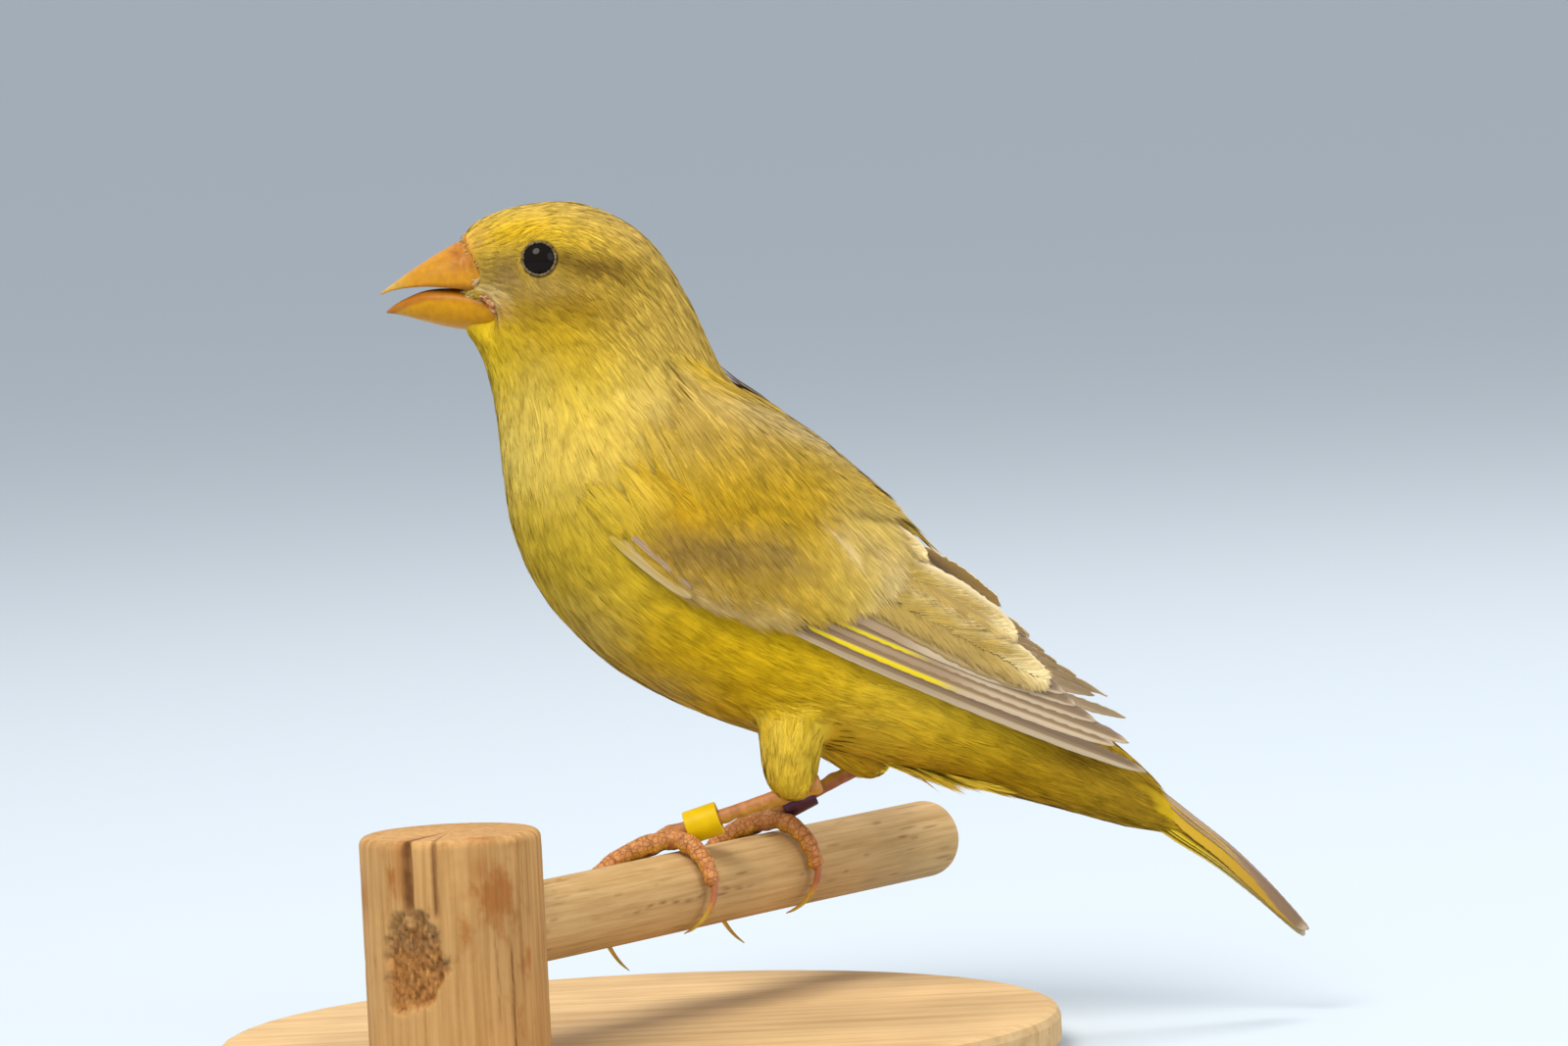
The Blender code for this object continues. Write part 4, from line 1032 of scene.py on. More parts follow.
class Vanes:
    """Gathers thin closed vanes, each with its own colours, into one mesh."""

    def __init__(self):
        self.points, self.colours, self.shapes, self.patches, self.faces = [], [], [], [], []

    def add(self, place, paint, outline, low, high, tone=1.0, frayed=0.5, under=None):
        """place gives points for shares along, offsets across and heights; paint gives colours."""
        along = np.linspace(0, 1, VANE_STEPS)[:, None]
        along = 1 - (1 - along) ** 1.25
        across = np.linspace(-1, 1, VANE_ACROSS)[None, :]
        full = np.where(across < 0, low, high)
        width = outline_width(outline, along)
        notch = 1 - frayed * 0.10 * np.repeat(random.uniform(0, 1, (VANE_STEPS, 1)), VANE_ACROSS, axis=1) * np.abs(across) ** 6
        offset = across * full * width * notch
        shaft = 0.07 * np.exp(-((across / 0.11) ** 2)) * (1 - 0.6 * along)
        cup = -0.12 * across**2
        ripple = 0.015 * np.sin(along * 160 - np.abs(across) * 9)
        height = shaft + cup + ripple
        thin = VANE_THIN * (1 - 0.5 * np.abs(across) ** 2)
        along_full = np.repeat(along, VANE_ACROSS, axis=1)
        top = place(along_full, offset, height)
        low_side = place(along_full, offset, height - thin)
        colour = np.clip(paint(along_full, np.broadcast_to(across, along_full.shape)) * tone, 0, 1)
        # Where under is given, the lower side takes mostly that colour, which carries painted light
        below = colour * 0.8 if under is None else mixed_field(colour, under, np.full(along_full.shape, 0.85))
        first = sum(len(p) for p in self.points)
        self.points.append(np.concatenate([top.reshape(-1, 3), low_side.reshape(-1, 3)]))
        self.colours.append(np.concatenate([colour.reshape(-1, 3), below.reshape(-1, 3)]))
        shape = np.stack([np.broadcast_to(across, along_full.shape), along_full], axis=-1).reshape(-1, 2)
        self.shapes.append(np.concatenate([shape, shape]))
        self.patches.append(len(self.patches))
        self.faces += [tuple(first + k for k in face) for face in VANE_FACES]

    def build(self, name, finish):
        obj = new_object(name, np.concatenate(self.points), self.faces, finish, np.concatenate(self.colours))
        shape = np.concatenate(self.shapes)
        set_uv(obj, "vane", shape)
        count = len(self.shapes)
        bake = []
        for i, part in enumerate(self.shapes):
            half = len(part) // 2
            strip = (i + 0.5 + part[:, 0] * 0.2) / count
            strip[half:] = (i + 0.5 + 0.22 + 0.05 * (part[half:, 0] + 1)) / count
            bake.append(np.stack([strip, 0.02 + 0.96 * part[:, 1]], axis=-1))
        set_uv(obj, "OFBake", np.concatenate(bake))
        return obj


VANE_FACES = vane_faces(VANE_STEPS, VANE_ACROSS)


def vane_material(name):
    made = Nodes(name)
    colour = made.add("ShaderNodeAttribute", attribute_name="plumage").outputs["Color"]
    shape = made.add("ShaderNodeUVMap", uv_map="vane").outputs["UV"]
    parts = made.add("ShaderNodeSeparateXYZ", {0: shape}).outputs
    across = made.math("ABSOLUTE", parts[0])
    slant = made.math("SUBTRACT", parts[1], made.math("MULTIPLY", across, 0.055))
    wave = made.math("SINE", made.math("MULTIPLY", slant, 620.0))
    uneven = made.noise(900, 2)
    fine = made.math("MULTIPLY", wave, uneven)
    lines = made.ramp(fine, (0.0, 0.86), (0.6, 1.06))
    colour = made.mix(1.0, colour, lines, "MULTIPLY")
    normal = made.bump(fine, 0.00004, 0.5)
    made.finish(Base_Color=colour, Roughness=0.5, Specular_IOR_Level=0.3, Sheen_Weight=0.12, Normal=normal)
    return made.material


VANE = vane_material("vane_plumage")


def mixed(a, b, share):
    share = np.asarray(share, float)[..., None]
    return np.asarray(a) * (1 - share) + np.asarray(b) * share


def paint_primary(kind):
    """Mauve brown, with a yellow outer edge near the root of some and a pale edge further out."""

    def paint(along, across):
        outer = smoothstep(-0.15, -0.4, across)
        # Darker towards the covered edge: own colour and painted shade
        base = mixed(QUILL, QUILL_DARK_AND_SHADE, smoothstep(-0.35, 0.3, across))
        if kind == "outer":
            base = mixed_field(base, (0.52, 0.40, 0.24), smoothstep(0.3, -0.5, across) * 0.9)
            base = mixed_field(base, (0.66, 0.54, 0.36), smoothstep(-0.60, -0.85, across) * 0.9)
        if kind.startswith("striped"):
            end = 0.58 if kind == "striped long" else 0.46
            base = mixed_field(base, STRIPE, outer * smoothstep(end, end - 0.12, along))
        base = mixed_field(base, (0.62, 0.48, 0.31), outer * smoothstep(0.45, 0.6, along) * 0.75)
        base = mixed_field(base, QUILL_EDGE, smoothstep(0.955, 0.995, along) * 0.7)
        return mixed_field(base, SHAFT, 0.6 * np.exp(-((across / 0.08) ** 2)))

    return paint


def mixed_field(field, tint, share):
    share = np.asarray(share, float)[..., None]
    return field * (1 - share) + np.asarray(tint) * share


def paint_tertial(along, across):
    upper = smoothstep(0.55, 0.95, across)
    tip = smoothstep(0.80, 0.98, along) * smoothstep(-0.9, 0.0, across)
    base = mixed((0.43, 0.275, 0.032), (0.41, 0.265, 0.06), smoothstep(0.2, 0.8, along))
    base = mixed_field(base, (0.42, 0.29, 0.13), smoothstep(-0.3, -0.9, across) * 0.6)
    base = mixed_field(base, (0.76, 0.60, 0.30), np.maximum(upper, tip) * 0.9)
    return mixed_field(base, SHAFT, 0.3 * np.exp(-((across / 0.06) ** 2)))


def paint_alula(along, across):
    base = mixed((0.52, 0.37, 0.13), (0.45, 0.32, 0.16), smoothstep(0.0, 0.8, across))
    base = mixed_field(base, (0.62, 0.47, 0.22), smoothstep(-0.3, -0.9, across))
    return mixed_field(base, (0.55, 0.37, 0.03), smoothstep(0.45, 0.1, along))


def paint_thumb(along, across):
    base = mixed((0.45, 0.30, 0.18), (0.33, 0.20, 0.12), smoothstep(-0.2, 0.5, across))
    return mixed_field(base, CREAM, smoothstep(-0.5, -0.95, across) * 0.8)


def paint_tail(pair):
    """Brown on top, one bright yellow web at the side that ends in brown, cream on the lowest."""

    def paint(along, across):
        brown = mixed_field(mixed((0.33, 0.20, 0.095), (0.24, 0.14, 0.075), smoothstep(0.3, 0.8, along)),
                            (0.60, 0.46, 0.28), smoothstep(0.8, 0.97, across) * (0.6 if pair < 1 else 0.2))
        if pair == 2:
            yellow = mixed((0.54, 0.315, 0.001), (0.44, 0.235, 0.002), smoothstep(0.3, 0.75, along))
            brown = mixed_field(brown, (0.20, 0.115, 0.055), smoothstep(0.5, 0.9, along) * 0.8)
            share = smoothstep(-0.06, 0.06, across - (along - 0.42) * 1.9)[..., None]
            brown = brown * (1 - share) + yellow * share
        if pair in (3, 4):
            yellow = mixed((0.66, 0.46, 0.01), (0.62, 0.46, 0.16), smoothstep(0.3, 0.8, along))
            brown = mixed_field(brown * 0.8, yellow[..., :], smoothstep(0.25, 0.5, across))
        if pair == TAIL_PAIRS - 1:
            pale = mixed((0.72, 0.52, 0.04), (0.66, 0.52, 0.27), smoothstep(0.25, 0.7, along))
            brown = mixed_field(brown, pale, smoothstep(-0.1, 0.2, across) * 0.9)
        brown = mixed_field(brown, (0.60, 0.46, 0.30), smoothstep(0.93, 0.99, along) * 0.7)
        return mixed_field(brown, (0.13, 0.07, 0.03), 0.6 * np.exp(-((across / 0.05) ** 2)))

    return paint


# Flight feathers of the folded wing: root and tip in the chart, widths, heights at root and tip, bend, form, paint
FLIGHT = (
    ((16.0, -1.8), (67.6, -0.4), 0.9, 1.3, 0.50, 0.50, -0.3, "flight", "outer"),
    ((19.0, -0.6), (62.8, 0.9), 0.9, 1.4, 0.60, 0.56, -0.2, "flight", "striped long"),
    ((20.0, 0.5), (64.2, 1.7), 0.9, 1.4, 0.70, 0.62, -0.1, "flight", "plain"),
    ((21.0, 1.3), (59.5, 2.4), 0.9, 1.5, 0.79, 0.68, -0.1, "flight", "striped short"),
    ((22.0, 2.3), (56.5, 3.1), 0.8, 1.6, 0.88, 0.74, -0.3, "flight", "plain"),
    ((24.0, 3.6), (54.5, 3.8), 0.9, 1.6, 0.97, 0.80, -0.4, "flight", "plain"),
    ((18.0, 3.4), (51.2, 2.9), 1.2, 2.0, 1.06, 0.92, -0.4, "flight", "plain"),
    ((18.0, 5.0), (52.6, 4.0), 1.2, 2.0, 1.14, 1.00, -0.3, "flight", "plain"),
    ((17.0, 6.2), (52.3, 3.9), 2.8, 2.7, 1.28, 1.12, 0.2, "broad", "tertial"),
    ((16.5, 9.3), (46.6, 7.0), 2.3, 2.2, 1.42, 1.20, 0.5, "broad", "tertial"),
    ((16.0, 12.2), (32.6, 11.2), 1.9, 1.5, 1.45, 1.25, 0.3, "broad", "tertial"),
)

WING_CORE = np.array(
    [
        (0.0, 0.6, 3.4, 0.2),
        (4.0, -1.0, 8.5, 0.5),
        (9.0, -2.0, 13.0, 0.8),
        (16.0, -2.0, 14.6, 0.9),
        (24.0, -1.2, 13.0, 0.8),
        (32.0, -0.8, 11.0, 0.6),
        (40.0, -0.6, 8.6, 0.4),
        (47.0, -0.3, 6.0, 0.3),
    ]
)
ROOT_SINK = 1.3


def chart_vane(vanes, chart, root, tip, low, high, root_height, tip_height, bend, outline, paint, tone=1.0, frayed=0.5, under=None):
    line = Vector((tip[0] - root[0], tip[1] - root[1])).normalized()
    over = (-line.y, line.x)

    def place(along, offset, height):
        a = root[0] + (tip[0] - root[0]) * along + over[0] * offset
        b = root[1] + (tip[1] - root[1]) * along + bend * 4 * along * (1 - along) + over[1] * offset
        sink = ROOT_SINK * smoothstep(0.12, 0.0, along)
        return chart(a, b, root_height + (tip_height - root_height) * along + height - sink)

    vanes.add(place, paint, outline, low, high, tone, frayed, under)


class WingFlow:
    """The lie of the wing's small feathers: along its chart."""

    def __init__(self, chart):
        along, up = np.meshgrid(np.arange(-6, 60, 1.0), np.arange(-6, 20, 1.0), indexing="ij")
        here = chart(along, up, np.zeros_like(along))
        there = chart(along + 0.5, up, np.zeros_like(along))
        self.lines = [Vector(v) for v in (there - here).reshape(-1, 3)]
        self.tree = KDTree(len(self.lines))
        for i, place in enumerate(here.reshape(-1, 3)):
            self.tree.insert(Vector(place), i)
        self.tree.balance()

    def __call__(self, place):
        return self.lines[self.tree.find(place)[1]].copy()


# Soft patches of colour on the wing's small feathers, in its chart: along, up, radii, colour, strength
WING_PATCHES = (
    (14.0, 1.0, 10.0, 4.5, (0.44, 0.265, 0.014), 0.95),
    (5.0, 1.2, 4.2, 2.0, (0.26, 0.155, 0.04), 0.95),
    (10.5, 2.8, 4.8, 1.9, (0.23, 0.14, 0.04), 0.95),
    (16.5, 5.0, 4.5, 2.0, (0.28, 0.175, 0.05), 0.9),
    (13.0, -3.2, 7.0, 1.5, (0.48, 0.35, 0.15), 0.85),
    (21.0, -1.8, 3.6, 1.5, (0.50, 0.38, 0.18), 0.8),
    (26.5, 4.0, 5.0, 4.4, (0.55, 0.380, 0.065), 0.95),
    (30.8, 5.0, 2.2, 3.4, (0.62, 0.485, 0.24), 0.9),
    (24.5, 8.6, 3.2, 1.3, (0.58, 0.43, 0.22), 0.85),
    (23.5, 11.8, 6.0, 2.2, (0.50, 0.36, 0.095), 0.9),
    (31.0, 11.2, 2.0, 1.6, (0.72, 0.66, 0.46), 0.95),
    (4.0, 5.2, 3.2, 1.5, (0.52, 0.285, 0.002), 0.9),
    (9.5, 8.0, 3.0, 2.0, (0.52, 0.295, 0.004), 0.7),
    (16.0, 10.5, 4.0, 2.0, (0.46, 0.27, 0.006), 0.8),
    (8.0, 14.0, 4.0, 2.5, (0.43, 0.275, 0.05), 0.7),
    (0.0, 13.5, 5.0, 4.5, (0.35, 0.225, 0.05), 0.85),
    (13.0, 17.4, 11.0, 1.7, (0.50, 0.375, 0.17), 0.85),
)


def wing_colour(along, up):
    colour = np.array((0.47, 0.290, 0.012))
    for a, b, wide, tall, tint, strength in WING_PATCHES:
        share = strength * math.exp(-0.8 * (((along - a) / wide) ** 2 + ((up - b) / tall) ** 2))
        colour = colour * (1 - share) + np.array(tint) * share
    return colour


# Where the tips of the scapulars end over the coverts, and the wing's lower and upper edge, in its chart
SCAPULAR_EDGE = ((-9, 1.0), (1.7, 2.1), (4.4, 3.4), (8.5, 4.4), (11.1, 5.8), (15.1, 7.5), (18.8, 7.8), (22.2, 8.6), (24.5, 9.9),
                 (29.1, 12.6))
BACK_EDGE = ((-9, 21.0), (5.2, 20.0), (10.7, 19.2), (16.1, 18.0), (22.2, 16.6), (26.0, 14.6), (29.5, 12.9))
LOWER_EDGE = ((-8, -1.0), (0, -1.5), (9.0, -3.4), (14.0, -4.0), (20.0, -2.9), (24.0, -1.2), (27.0, 0.4), (29.7, 2.3), (31.2, 4.8),
              (31.3, 7.4), (29.0, 9.6))


def edge_at(edge, at):
    return float(np.interp(at, [row[0] for row in edge], [row[1] for row in edge]))


def covert_plans():
    """The wing's small feathers by their tips: group, along, up, length, half width, barbs, heights, streak, turn."""
    plans = []
    for i in range(95):
        up = random.uniform(-3.2, 9.6)
        end = float(np.interp(up, (-3.4, -1.2, 0.6, 2.6, 5.0, 7.4, 9.6), (20.5, 25.0, 28.2, 31.0, 32.4, 32.0, 29.4)))
        turn = 12 + 18 * float(smoothstep(-2.5, 1.5, up))
        plans.append(("coverts", end - random.uniform(0, 1.2), up, random.uniform(10, 12), 1.8, 60, 0.0, 0.22, 0.06, turn))
    for i in range(150):
        up = random.uniform(-2.6, 8.6)
        end = float(np.interp(up, (-3.4, -1.2, 0.6, 2.6, 5.0, 7.4, 9.6), (20.5, 25.0, 28.2, 31.0, 32.4, 32.0, 29.4)))
        along = end - random.uniform(1.0, 13.0)
        turn = 12 + 18 * float(smoothstep(-2.5, 1.5, up))
        plans.append(("coverts", along, up, random.uniform(8.5, 11), 1.6, 52, 0.05, 0.30, 0.10, turn))
    for i in range(44):
        along = random.uniform(8.0, 23.0)
        low = edge_at(LOWER_EDGE, along)
        plans.append(("coverts", along, low + random.uniform(-0.1, 1.6), random.uniform(7, 9), 1.1, 36, 0.0, 0.2, 0.12, 9))
    for i in range(170):
        along = random.uniform(2.0, 19.0)
        low = edge_at(LOWER_EDGE, along) + 0.9
        up = random.uniform(low, edge_at(SCAPULAR_EDGE, along) + 1.0)
        plans.append(("coverts", along, up, random.uniform(7.0, 9.0), 1.4, 46, 0.12, 0.40, 0.22, 27))
    for i in range(1180):
        along = random.uniform(2.5 + 1.5 * (i % 3), 29.4)
        low, top = edge_at(SCAPULAR_EDGE, along), edge_at(BACK_EDGE, along)
        up = low + (top - low) * random.uniform(0, 1)
        turn = 36 - 22 * float(smoothstep(top - 6.0, top - 1.0, up))
        length = random.uniform(7.5, 10.5)
        rise = float(smoothstep(2.0, 10.0, along))
        near_edge = up < low + 1.2
        plans.append(("scapulars", along, up + (0.2 if near_edge else random.uniform(-0.5, 0.3)), length, 0.9, 28, -0.05,
                      0.04 + 0.44 * rise, 0.20, turn))
    for i in range(46):
        along, up = random.uniform(-1.5, 6.5), random.uniform(-1.9, 1.2)
        if up < -0.9 - 0.12 * along:
            continue
        plans.append(("coverts", along, up, random.uniform(6, 8), 1.0, 34, 0.0, 0.30, 0.1, random.uniform(12, 26)))
    return plans


def web_plans(root, tip, low, high, bend):
    """Tufts of a long inner feather: from its shaft out to both edges, as in covert_plans."""
    line = Vector((tip[0] - root[0], tip[1] - root[1]))
    plans = []
    for share in np.arange(0.3, 0.985, 0.013):
        wide = float(outline_width("broad", share))
        middle = root[1] + line.y * share + bend * 4 * share * (1 - share)
        for web, full in ((-1, low), (1, high)):
            reach = full * wide
            slant = 30 if web < 0 else 24
            length = max(reach / math.sin(math.radians(slant)), 1.6) * random.uniform(0.92, 1.06)
            along = root[0] + line.x * share + length * math.cos(math.radians(slant)) * 0.55
            plans.append(("webs", along, middle + web * reach, length, 0.75, 24, 0.02, 0.10, 0.05, -slant * web))
    return plans


def make_wing(side_name):
    side = -1 if side_name == "left" else 1
    chart = Chart(side)
    rows = []
    for at in np.linspace(0, len(WING_CORE) - 1, 60):
        along, low, high, height = smooth_row(WING_CORE, at)
        share = np.linspace(0, 1, 30)
        crown = height * (0.3 + 0.7 * np.sin(np.pi * share) ** 0.5)
        top = chart(np.full(30, along), low + (high - low) * share, crown)
        under = chart(np.full(30, along), low + (high - low) * share[::-1], np.full(30, -1.2))
        rows.append(np.concatenate([top, under]))
    points = np.array(rows)
    colours = np.tile(np.array((0.40, 0.28, 0.09)), (60, 60, 1))
    # The core's underside is pale, with painted light in its colour
    colours[:, 30:] = UNDER_WING_PAINTED_LIGHT
    core = new_object("wing_core_" + side_name, points.reshape(-1, 3), grid_faces(60, 60, caps=True), PLUMAGE,
                      colours.reshape(-1, 3))
    shares = np.stack(np.meshgrid(np.linspace(0, 1, 60), np.linspace(0, 1, 60), indexing="ij"), axis=-1)
    set_uv(core, "OFBake", shares.reshape(-1, 2))
    show(core, "wing_feathers", "wing_" + side_name)

    vanes = Vanes()
    far = side > 0
    for root, tip, low, high, root_height, tip_height, bend, outline, kind in FLIGHT:
        paint = paint_tertial if kind == "tertial" else paint_primary(kind)
        # The far wing's vanes take the pale underside colour, with painted light, on their lower side
        chart_vane(vanes, chart, root, tip, low, high, root_height, tip_height, bend, outline, paint,
                   random.normal(1, 0.04), 2.2 if far else 0.7, UNDER_WING_PAINTED_LIGHT if far else None)
    chart_vane(vanes, chart, (-1.0, 0.2), (8.9, -2.4), 0.4, 0.7, 0.75, 1.40, 0.2, "flight", paint_thumb)
    chart_vane(vanes, chart, (-3.5, -0.7), (9.3, -3.4), 0.8, 0.9, 0.15, 1.15, -0.1, "flight", paint_alula)
    show(vanes.build("wing_vanes_" + side_name, VANE), "wing_feathers")

    # Small feathers lie on a smooth envelope over the core, which meets the body at its front
    wide, tall = 110, 64
    rows = []
    for along in np.linspace(-10.0, 54.0, wide):
        share = np.linspace(0, 1, tall)
        low = edge_at(((-10, -2.5), (9, -4.2), (14, -4.8), (20, -4.0), (27, -2.4), (54, -1.0)), along)
        up = low + (22.0 - low) * share
        top = edge_at(((-10, 20), (16, 19), (30, 15.5), (40, 12.5), (54, 9.5)), along)
        core_share = np.clip((up - low) / (top - low), 0, 1)
        height = 0.35 + 1.15 * np.clip(np.sin(np.pi * core_share), 0, 1) ** 0.45
        height = height * smoothstep(-5.0, 9.0, along) * (1 - 0.15 * smoothstep(30, 36, along))
        rows.append(chart(np.full(tall, along), up, height))
    envelope = np.array(rows)
    faces = grid_faces(wide, tall, closed=False)
    tree = BVHTree.FromPolygons([Vector(p) for p in envelope.reshape(-1, 3)], faces)
    if tree.find_nearest(Vector(envelope[50, 20]))[1].y * side < 0:
        tree = BVHTree.FromPolygons([Vector(p) for p in envelope.reshape(-1, 3)], [face[::-1] for face in faces])
    coat = Coat(tree, WingFlow(chart))
    plans = covert_plans()
    for root, tip, low, high, _, _, bend, _, kind in FLIGHT:
        if kind == "tertial":
            plans += [(*plan, (root, tip, low, high, bend)) for plan in web_plans(root, tip, low, high, bend)]
    for group, along, up, length, half, barbs, low, high, streak, turn, *feather in plans:
        back, rise = length * math.cos(math.radians(turn)), length * math.sin(math.radians(turn))
        root = Vector(chart(along - back, up + rise, 0.9))
        uv = (0.1 + (along + 8) / 70, 0.05 + (up + 5) / 30)
        if feather:
            (start, end, under, over, bow), = feather
            share = (along - back * 0.4 - start[0]) / (end[0] - start[0])
            middle = start[1] + (end[1] - start[1]) * share + bow * 4 * share * (1 - share)
            beside = (up + rise * 0.4 - middle) / (under if up < middle else over)
            edge = math.copysign(0.92, up - middle)
            colour = paint_tertial(np.array([share]), np.array([beside]))[0]
            tip = paint_tertial(np.array([share + 0.03]), np.array([edge]))[0]
        else:
            near_body = 0.9 * (1 - float(smoothstep(0.0, 7.0, along)))
            colour = mixed(wing_colour(along - back * 0.45, up + rise * 0.45), body_colour([root])[0], near_body)
            tip = mixed(wing_colour(along, up), colour, near_body)
            shift = random.normal(0, 0.13 if group == "scapulars" else 0.03)
            colour, tip = colour * (1 + shift), tip * (1 + shift)
        coat.add(f"{group}_{side_name}", root, length, half, barbs, colour, streak, low, high, uv,
                 0.12 if feather else 0.15, tip=tip, curl=side * math.tan(math.radians(turn + random.normal(0, 3))),
                 ragged=0.12 if feather else 0.32)
    for group in ("coverts", "scapulars", "webs"):
        show(coat.build(f"{group}_{side_name}", PLUMAGE), "wing_feathers")


TAIL_LINE = np.array(((50.6, 26.9), (55.0, 23.5), (60.0, 19.6), (65.0, 14.75), (69.3, 9.9)))
TAIL_PAIRS = 6
# Tail feathers of one side from the top down: level, place to the side, slope of the outer web, its width, length
TAIL_FEATHERS = (
    (1.0, 0.0, 0.25, 1.3, 0.965),
    (0.85, 0.7, 0.5, 1.2, 0.99),
    (0.80, 1.45, 1.05, 2.0, 0.975),
    (-0.35, 1.2, 0.6, 1.2, 0.98),
    (-0.62, 1.0, 0.5, 1.2, 0.99),
    (-0.95, 0.9, 0.5, 1.1, 1.0),
)


def tail_frames(shares):
    """Points of the tail's middle line and its upward normals, for an array of shares."""
    flat = np.clip(np.asarray(shares, float), 0, 1).ravel()
    last = len(TAIL_LINE) - 1
    places = np.array([smooth_row(TAIL_LINE, s * last) for s in flat])
    ahead = np.array([smooth_row(TAIL_LINE, min(s + 0.02, 1) * last) for s in flat])
    behind = np.array([smooth_row(TAIL_LINE, max(s - 0.02, 0) * last) for s in flat])
    line = ahead - behind
    line /= np.linalg.norm(line, axis=1, keepdims=True)
    zero = np.zeros(len(flat))
    shape = (*np.shape(shares), 3)
    return (np.stack([places[:, 0], zero, places[:, 1]], axis=1).reshape(shape),
            np.stack([-line[:, 1], zero, line[:, 0]], axis=1).reshape(shape))


def make_tail():
    vanes = Vanes()
    for pair, (level, aside, slope, width, length) in enumerate(TAIL_FEATHERS):
        for side in (-1, 1):

            def place(along, offset, height):
                share = 0.02 + (length - 0.02) * along
                spread = 0.25 + aside * (0.45 + 0.55 * share)
                depth = (1.95 - 1.5 * share) * level
                outer = np.maximum(offset, 0)
                middle, normal = tail_frames(share[:, :1])
                y = side * (spread + np.minimum(offset, 0) + outer * math.cos(slope))
                y = np.where((side * y < 0) & (pair > 0), 0, y)
                laid = middle + normal * (depth + 0.2 + 1.14 * height - outer * math.sin(slope))[..., None]
                laid[..., 1] += y
                return laid

            vanes.add(place, paint_tail(pair), "flight", 1.0, width, random.normal(1, 0.03))
    show(vanes.build("tail_vanes", VANE), "tail_feathers", "tail")


# Bill and eyes

UPPER_BILL = np.array(
    [
        (-38.0, 92.3, 92.0, 0.25),
        (-36.8, 93.1, 92.45, 1.0),
        (-35.0, 94.3, 92.75, 1.9),
        (-32.6, 95.75, 92.85, 2.9),
        (-30.2, 97.1, 92.65, 3.7),
        (-27.8, 98.2, 92.4, 4.3),
        (-25.2, 98.9, 92.2, 4.6),
    ]
)
LOWER_BILL = np.array(
    [
        (-37.4, 89.8, 90.05, 0.25),
        (-36.3, 89.6, 90.8, 1.0),
        (-34.6, 89.15, 91.6, 1.9),
        (-32.6, 88.5, 92.2, 2.8),
        (-30.2, 87.8, 92.3, 3.5),
        (-27.6, 87.3, 91.95, 4.1),
        (-23.8, 87.0, 90.8, 4.9),
    ]
)
HORN = (0.50, 0.215, 0.008)
HORN_TIP = (0.50, 0.33, 0.06)
HORN_LOW = (0.54, 0.245, 0.001)
# Dark reddish cutting edges where the bills meet: partly their own colour, partly painted shade
MOUTH_EDGE_AND_SHADE = (0.36, 0.11, 0.008)
GAPE = (0.52, 0.24, 0.10)


def horn_material():
    made = Nodes("bill_horn_fine")
    colour = made.add("ShaderNodeAttribute", attribute_name="plumage").outputs["Color"]
    mottled = made.ramp(made.noise(1300, 5), (0.3, 0.84), (0.7, 1.08))
    colour = made.mix(1.0, colour, mottled, "MULTIPLY")
    normal = made.bump(made.noise(2600, 4), 0.00003, 0.35)
    made.finish(Base_Color=colour, Roughness=0.42, Normal=normal, Subsurface_Weight=0.04, Specular_IOR_Level=0.18)
    made.shader.inputs["Subsurface Radius"].default_value = (0.0012, 0.0005, 0.0002)
    made.shader.inputs["Subsurface Scale"].default_value = 1.0
    return made.material


def bill_half(name, rows, lean, finish, paint):
    steps, arch, floor = 44, 33, 15
    rings = []
    for at in np.linspace(0, len(rows) - 1, steps):
        x, ridge, edge, half = smooth_row(rows, at)
        half = max(half, 0.2)
        tall = ridge - edge
        low = tall < 0
        shoulder = 0.22 * tall if low else 0.0
        turn = np.pi * np.arange(arch) / (arch - 1)
        y = half * np.cos(turn)
        z = edge + shoulder + (tall - shoulder) * np.sin(turn) ** 0.8
        inner_y = half * np.linspace(-0.86, 0.86, floor)
        dip = np.where(np.abs(inner_y) > 0.74 * half, 0, 0.30 * tall * (1 - np.abs(inner_y) / half))
        ring = np.stack(
            [np.full(arch + floor, x), np.concatenate([y, inner_y]), np.concatenate([z, edge + dip])], axis=1
        )
        last = smoothstep(len(rows) - 2, len(rows) - 1, at)
        ring[:, 0] -= last * lean * np.maximum(0, (ring[:, 2] - edge) / tall)
        rings.append(ring)
    points = np.array(rings).reshape(-1, 3)
    return new_object(name, points, grid_faces(steps, arch + floor, caps=True), finish, paint(points))


def paint_upper(points):
    x, y, z = points.T
    colour = mixed(HORN_TIP, HORN, smoothstep(-38, -33.5, x))
    red = np.exp(-(((x + 28.4) / 1.6) ** 2 + ((z - 96.4) / 1.1) ** 2)) * 0.7
    streaked = 0.5 + 0.5 * np.sin(7.0 * x + 5.0 * z) * np.cos(6.0 * z - 2.0 * x)
    root = smoothstep(-30.8, -28.2, x) * smoothstep(93.6, 95.4, z) * streaked
    colour = mixed_field(colour, (0.36, 0.11, 0.02), np.maximum(red, 0.95 * root))
    # The upper bill's lowest strip darkens: own colour and painted shade
    under = smoothstep(0.35, 0.0, z - np.interp(x, UPPER_BILL[:, 0], UPPER_BILL[:, 2]))
    return mixed_field(colour, MOUTH_EDGE_AND_SHADE, under * 0.6)


def paint_lower(points):
    x, y, z = points.T
    colour = mixed(HORN_TIP, HORN_LOW, smoothstep(-37.5, -34, x))
    edge = np.interp(x, LOWER_BILL[:, 0], LOWER_BILL[:, 2])
    # A strip under the lower bill's edge darkens: own colour and painted shade from the upper bill
    band = smoothstep(1.25, 0.75, edge - z) * smoothstep(-0.3, 0.2, edge - z + 0.3)
    return mixed_field(colour, MOUTH_EDGE_AND_SHADE, band * 0.85)


BILL_TREES = []


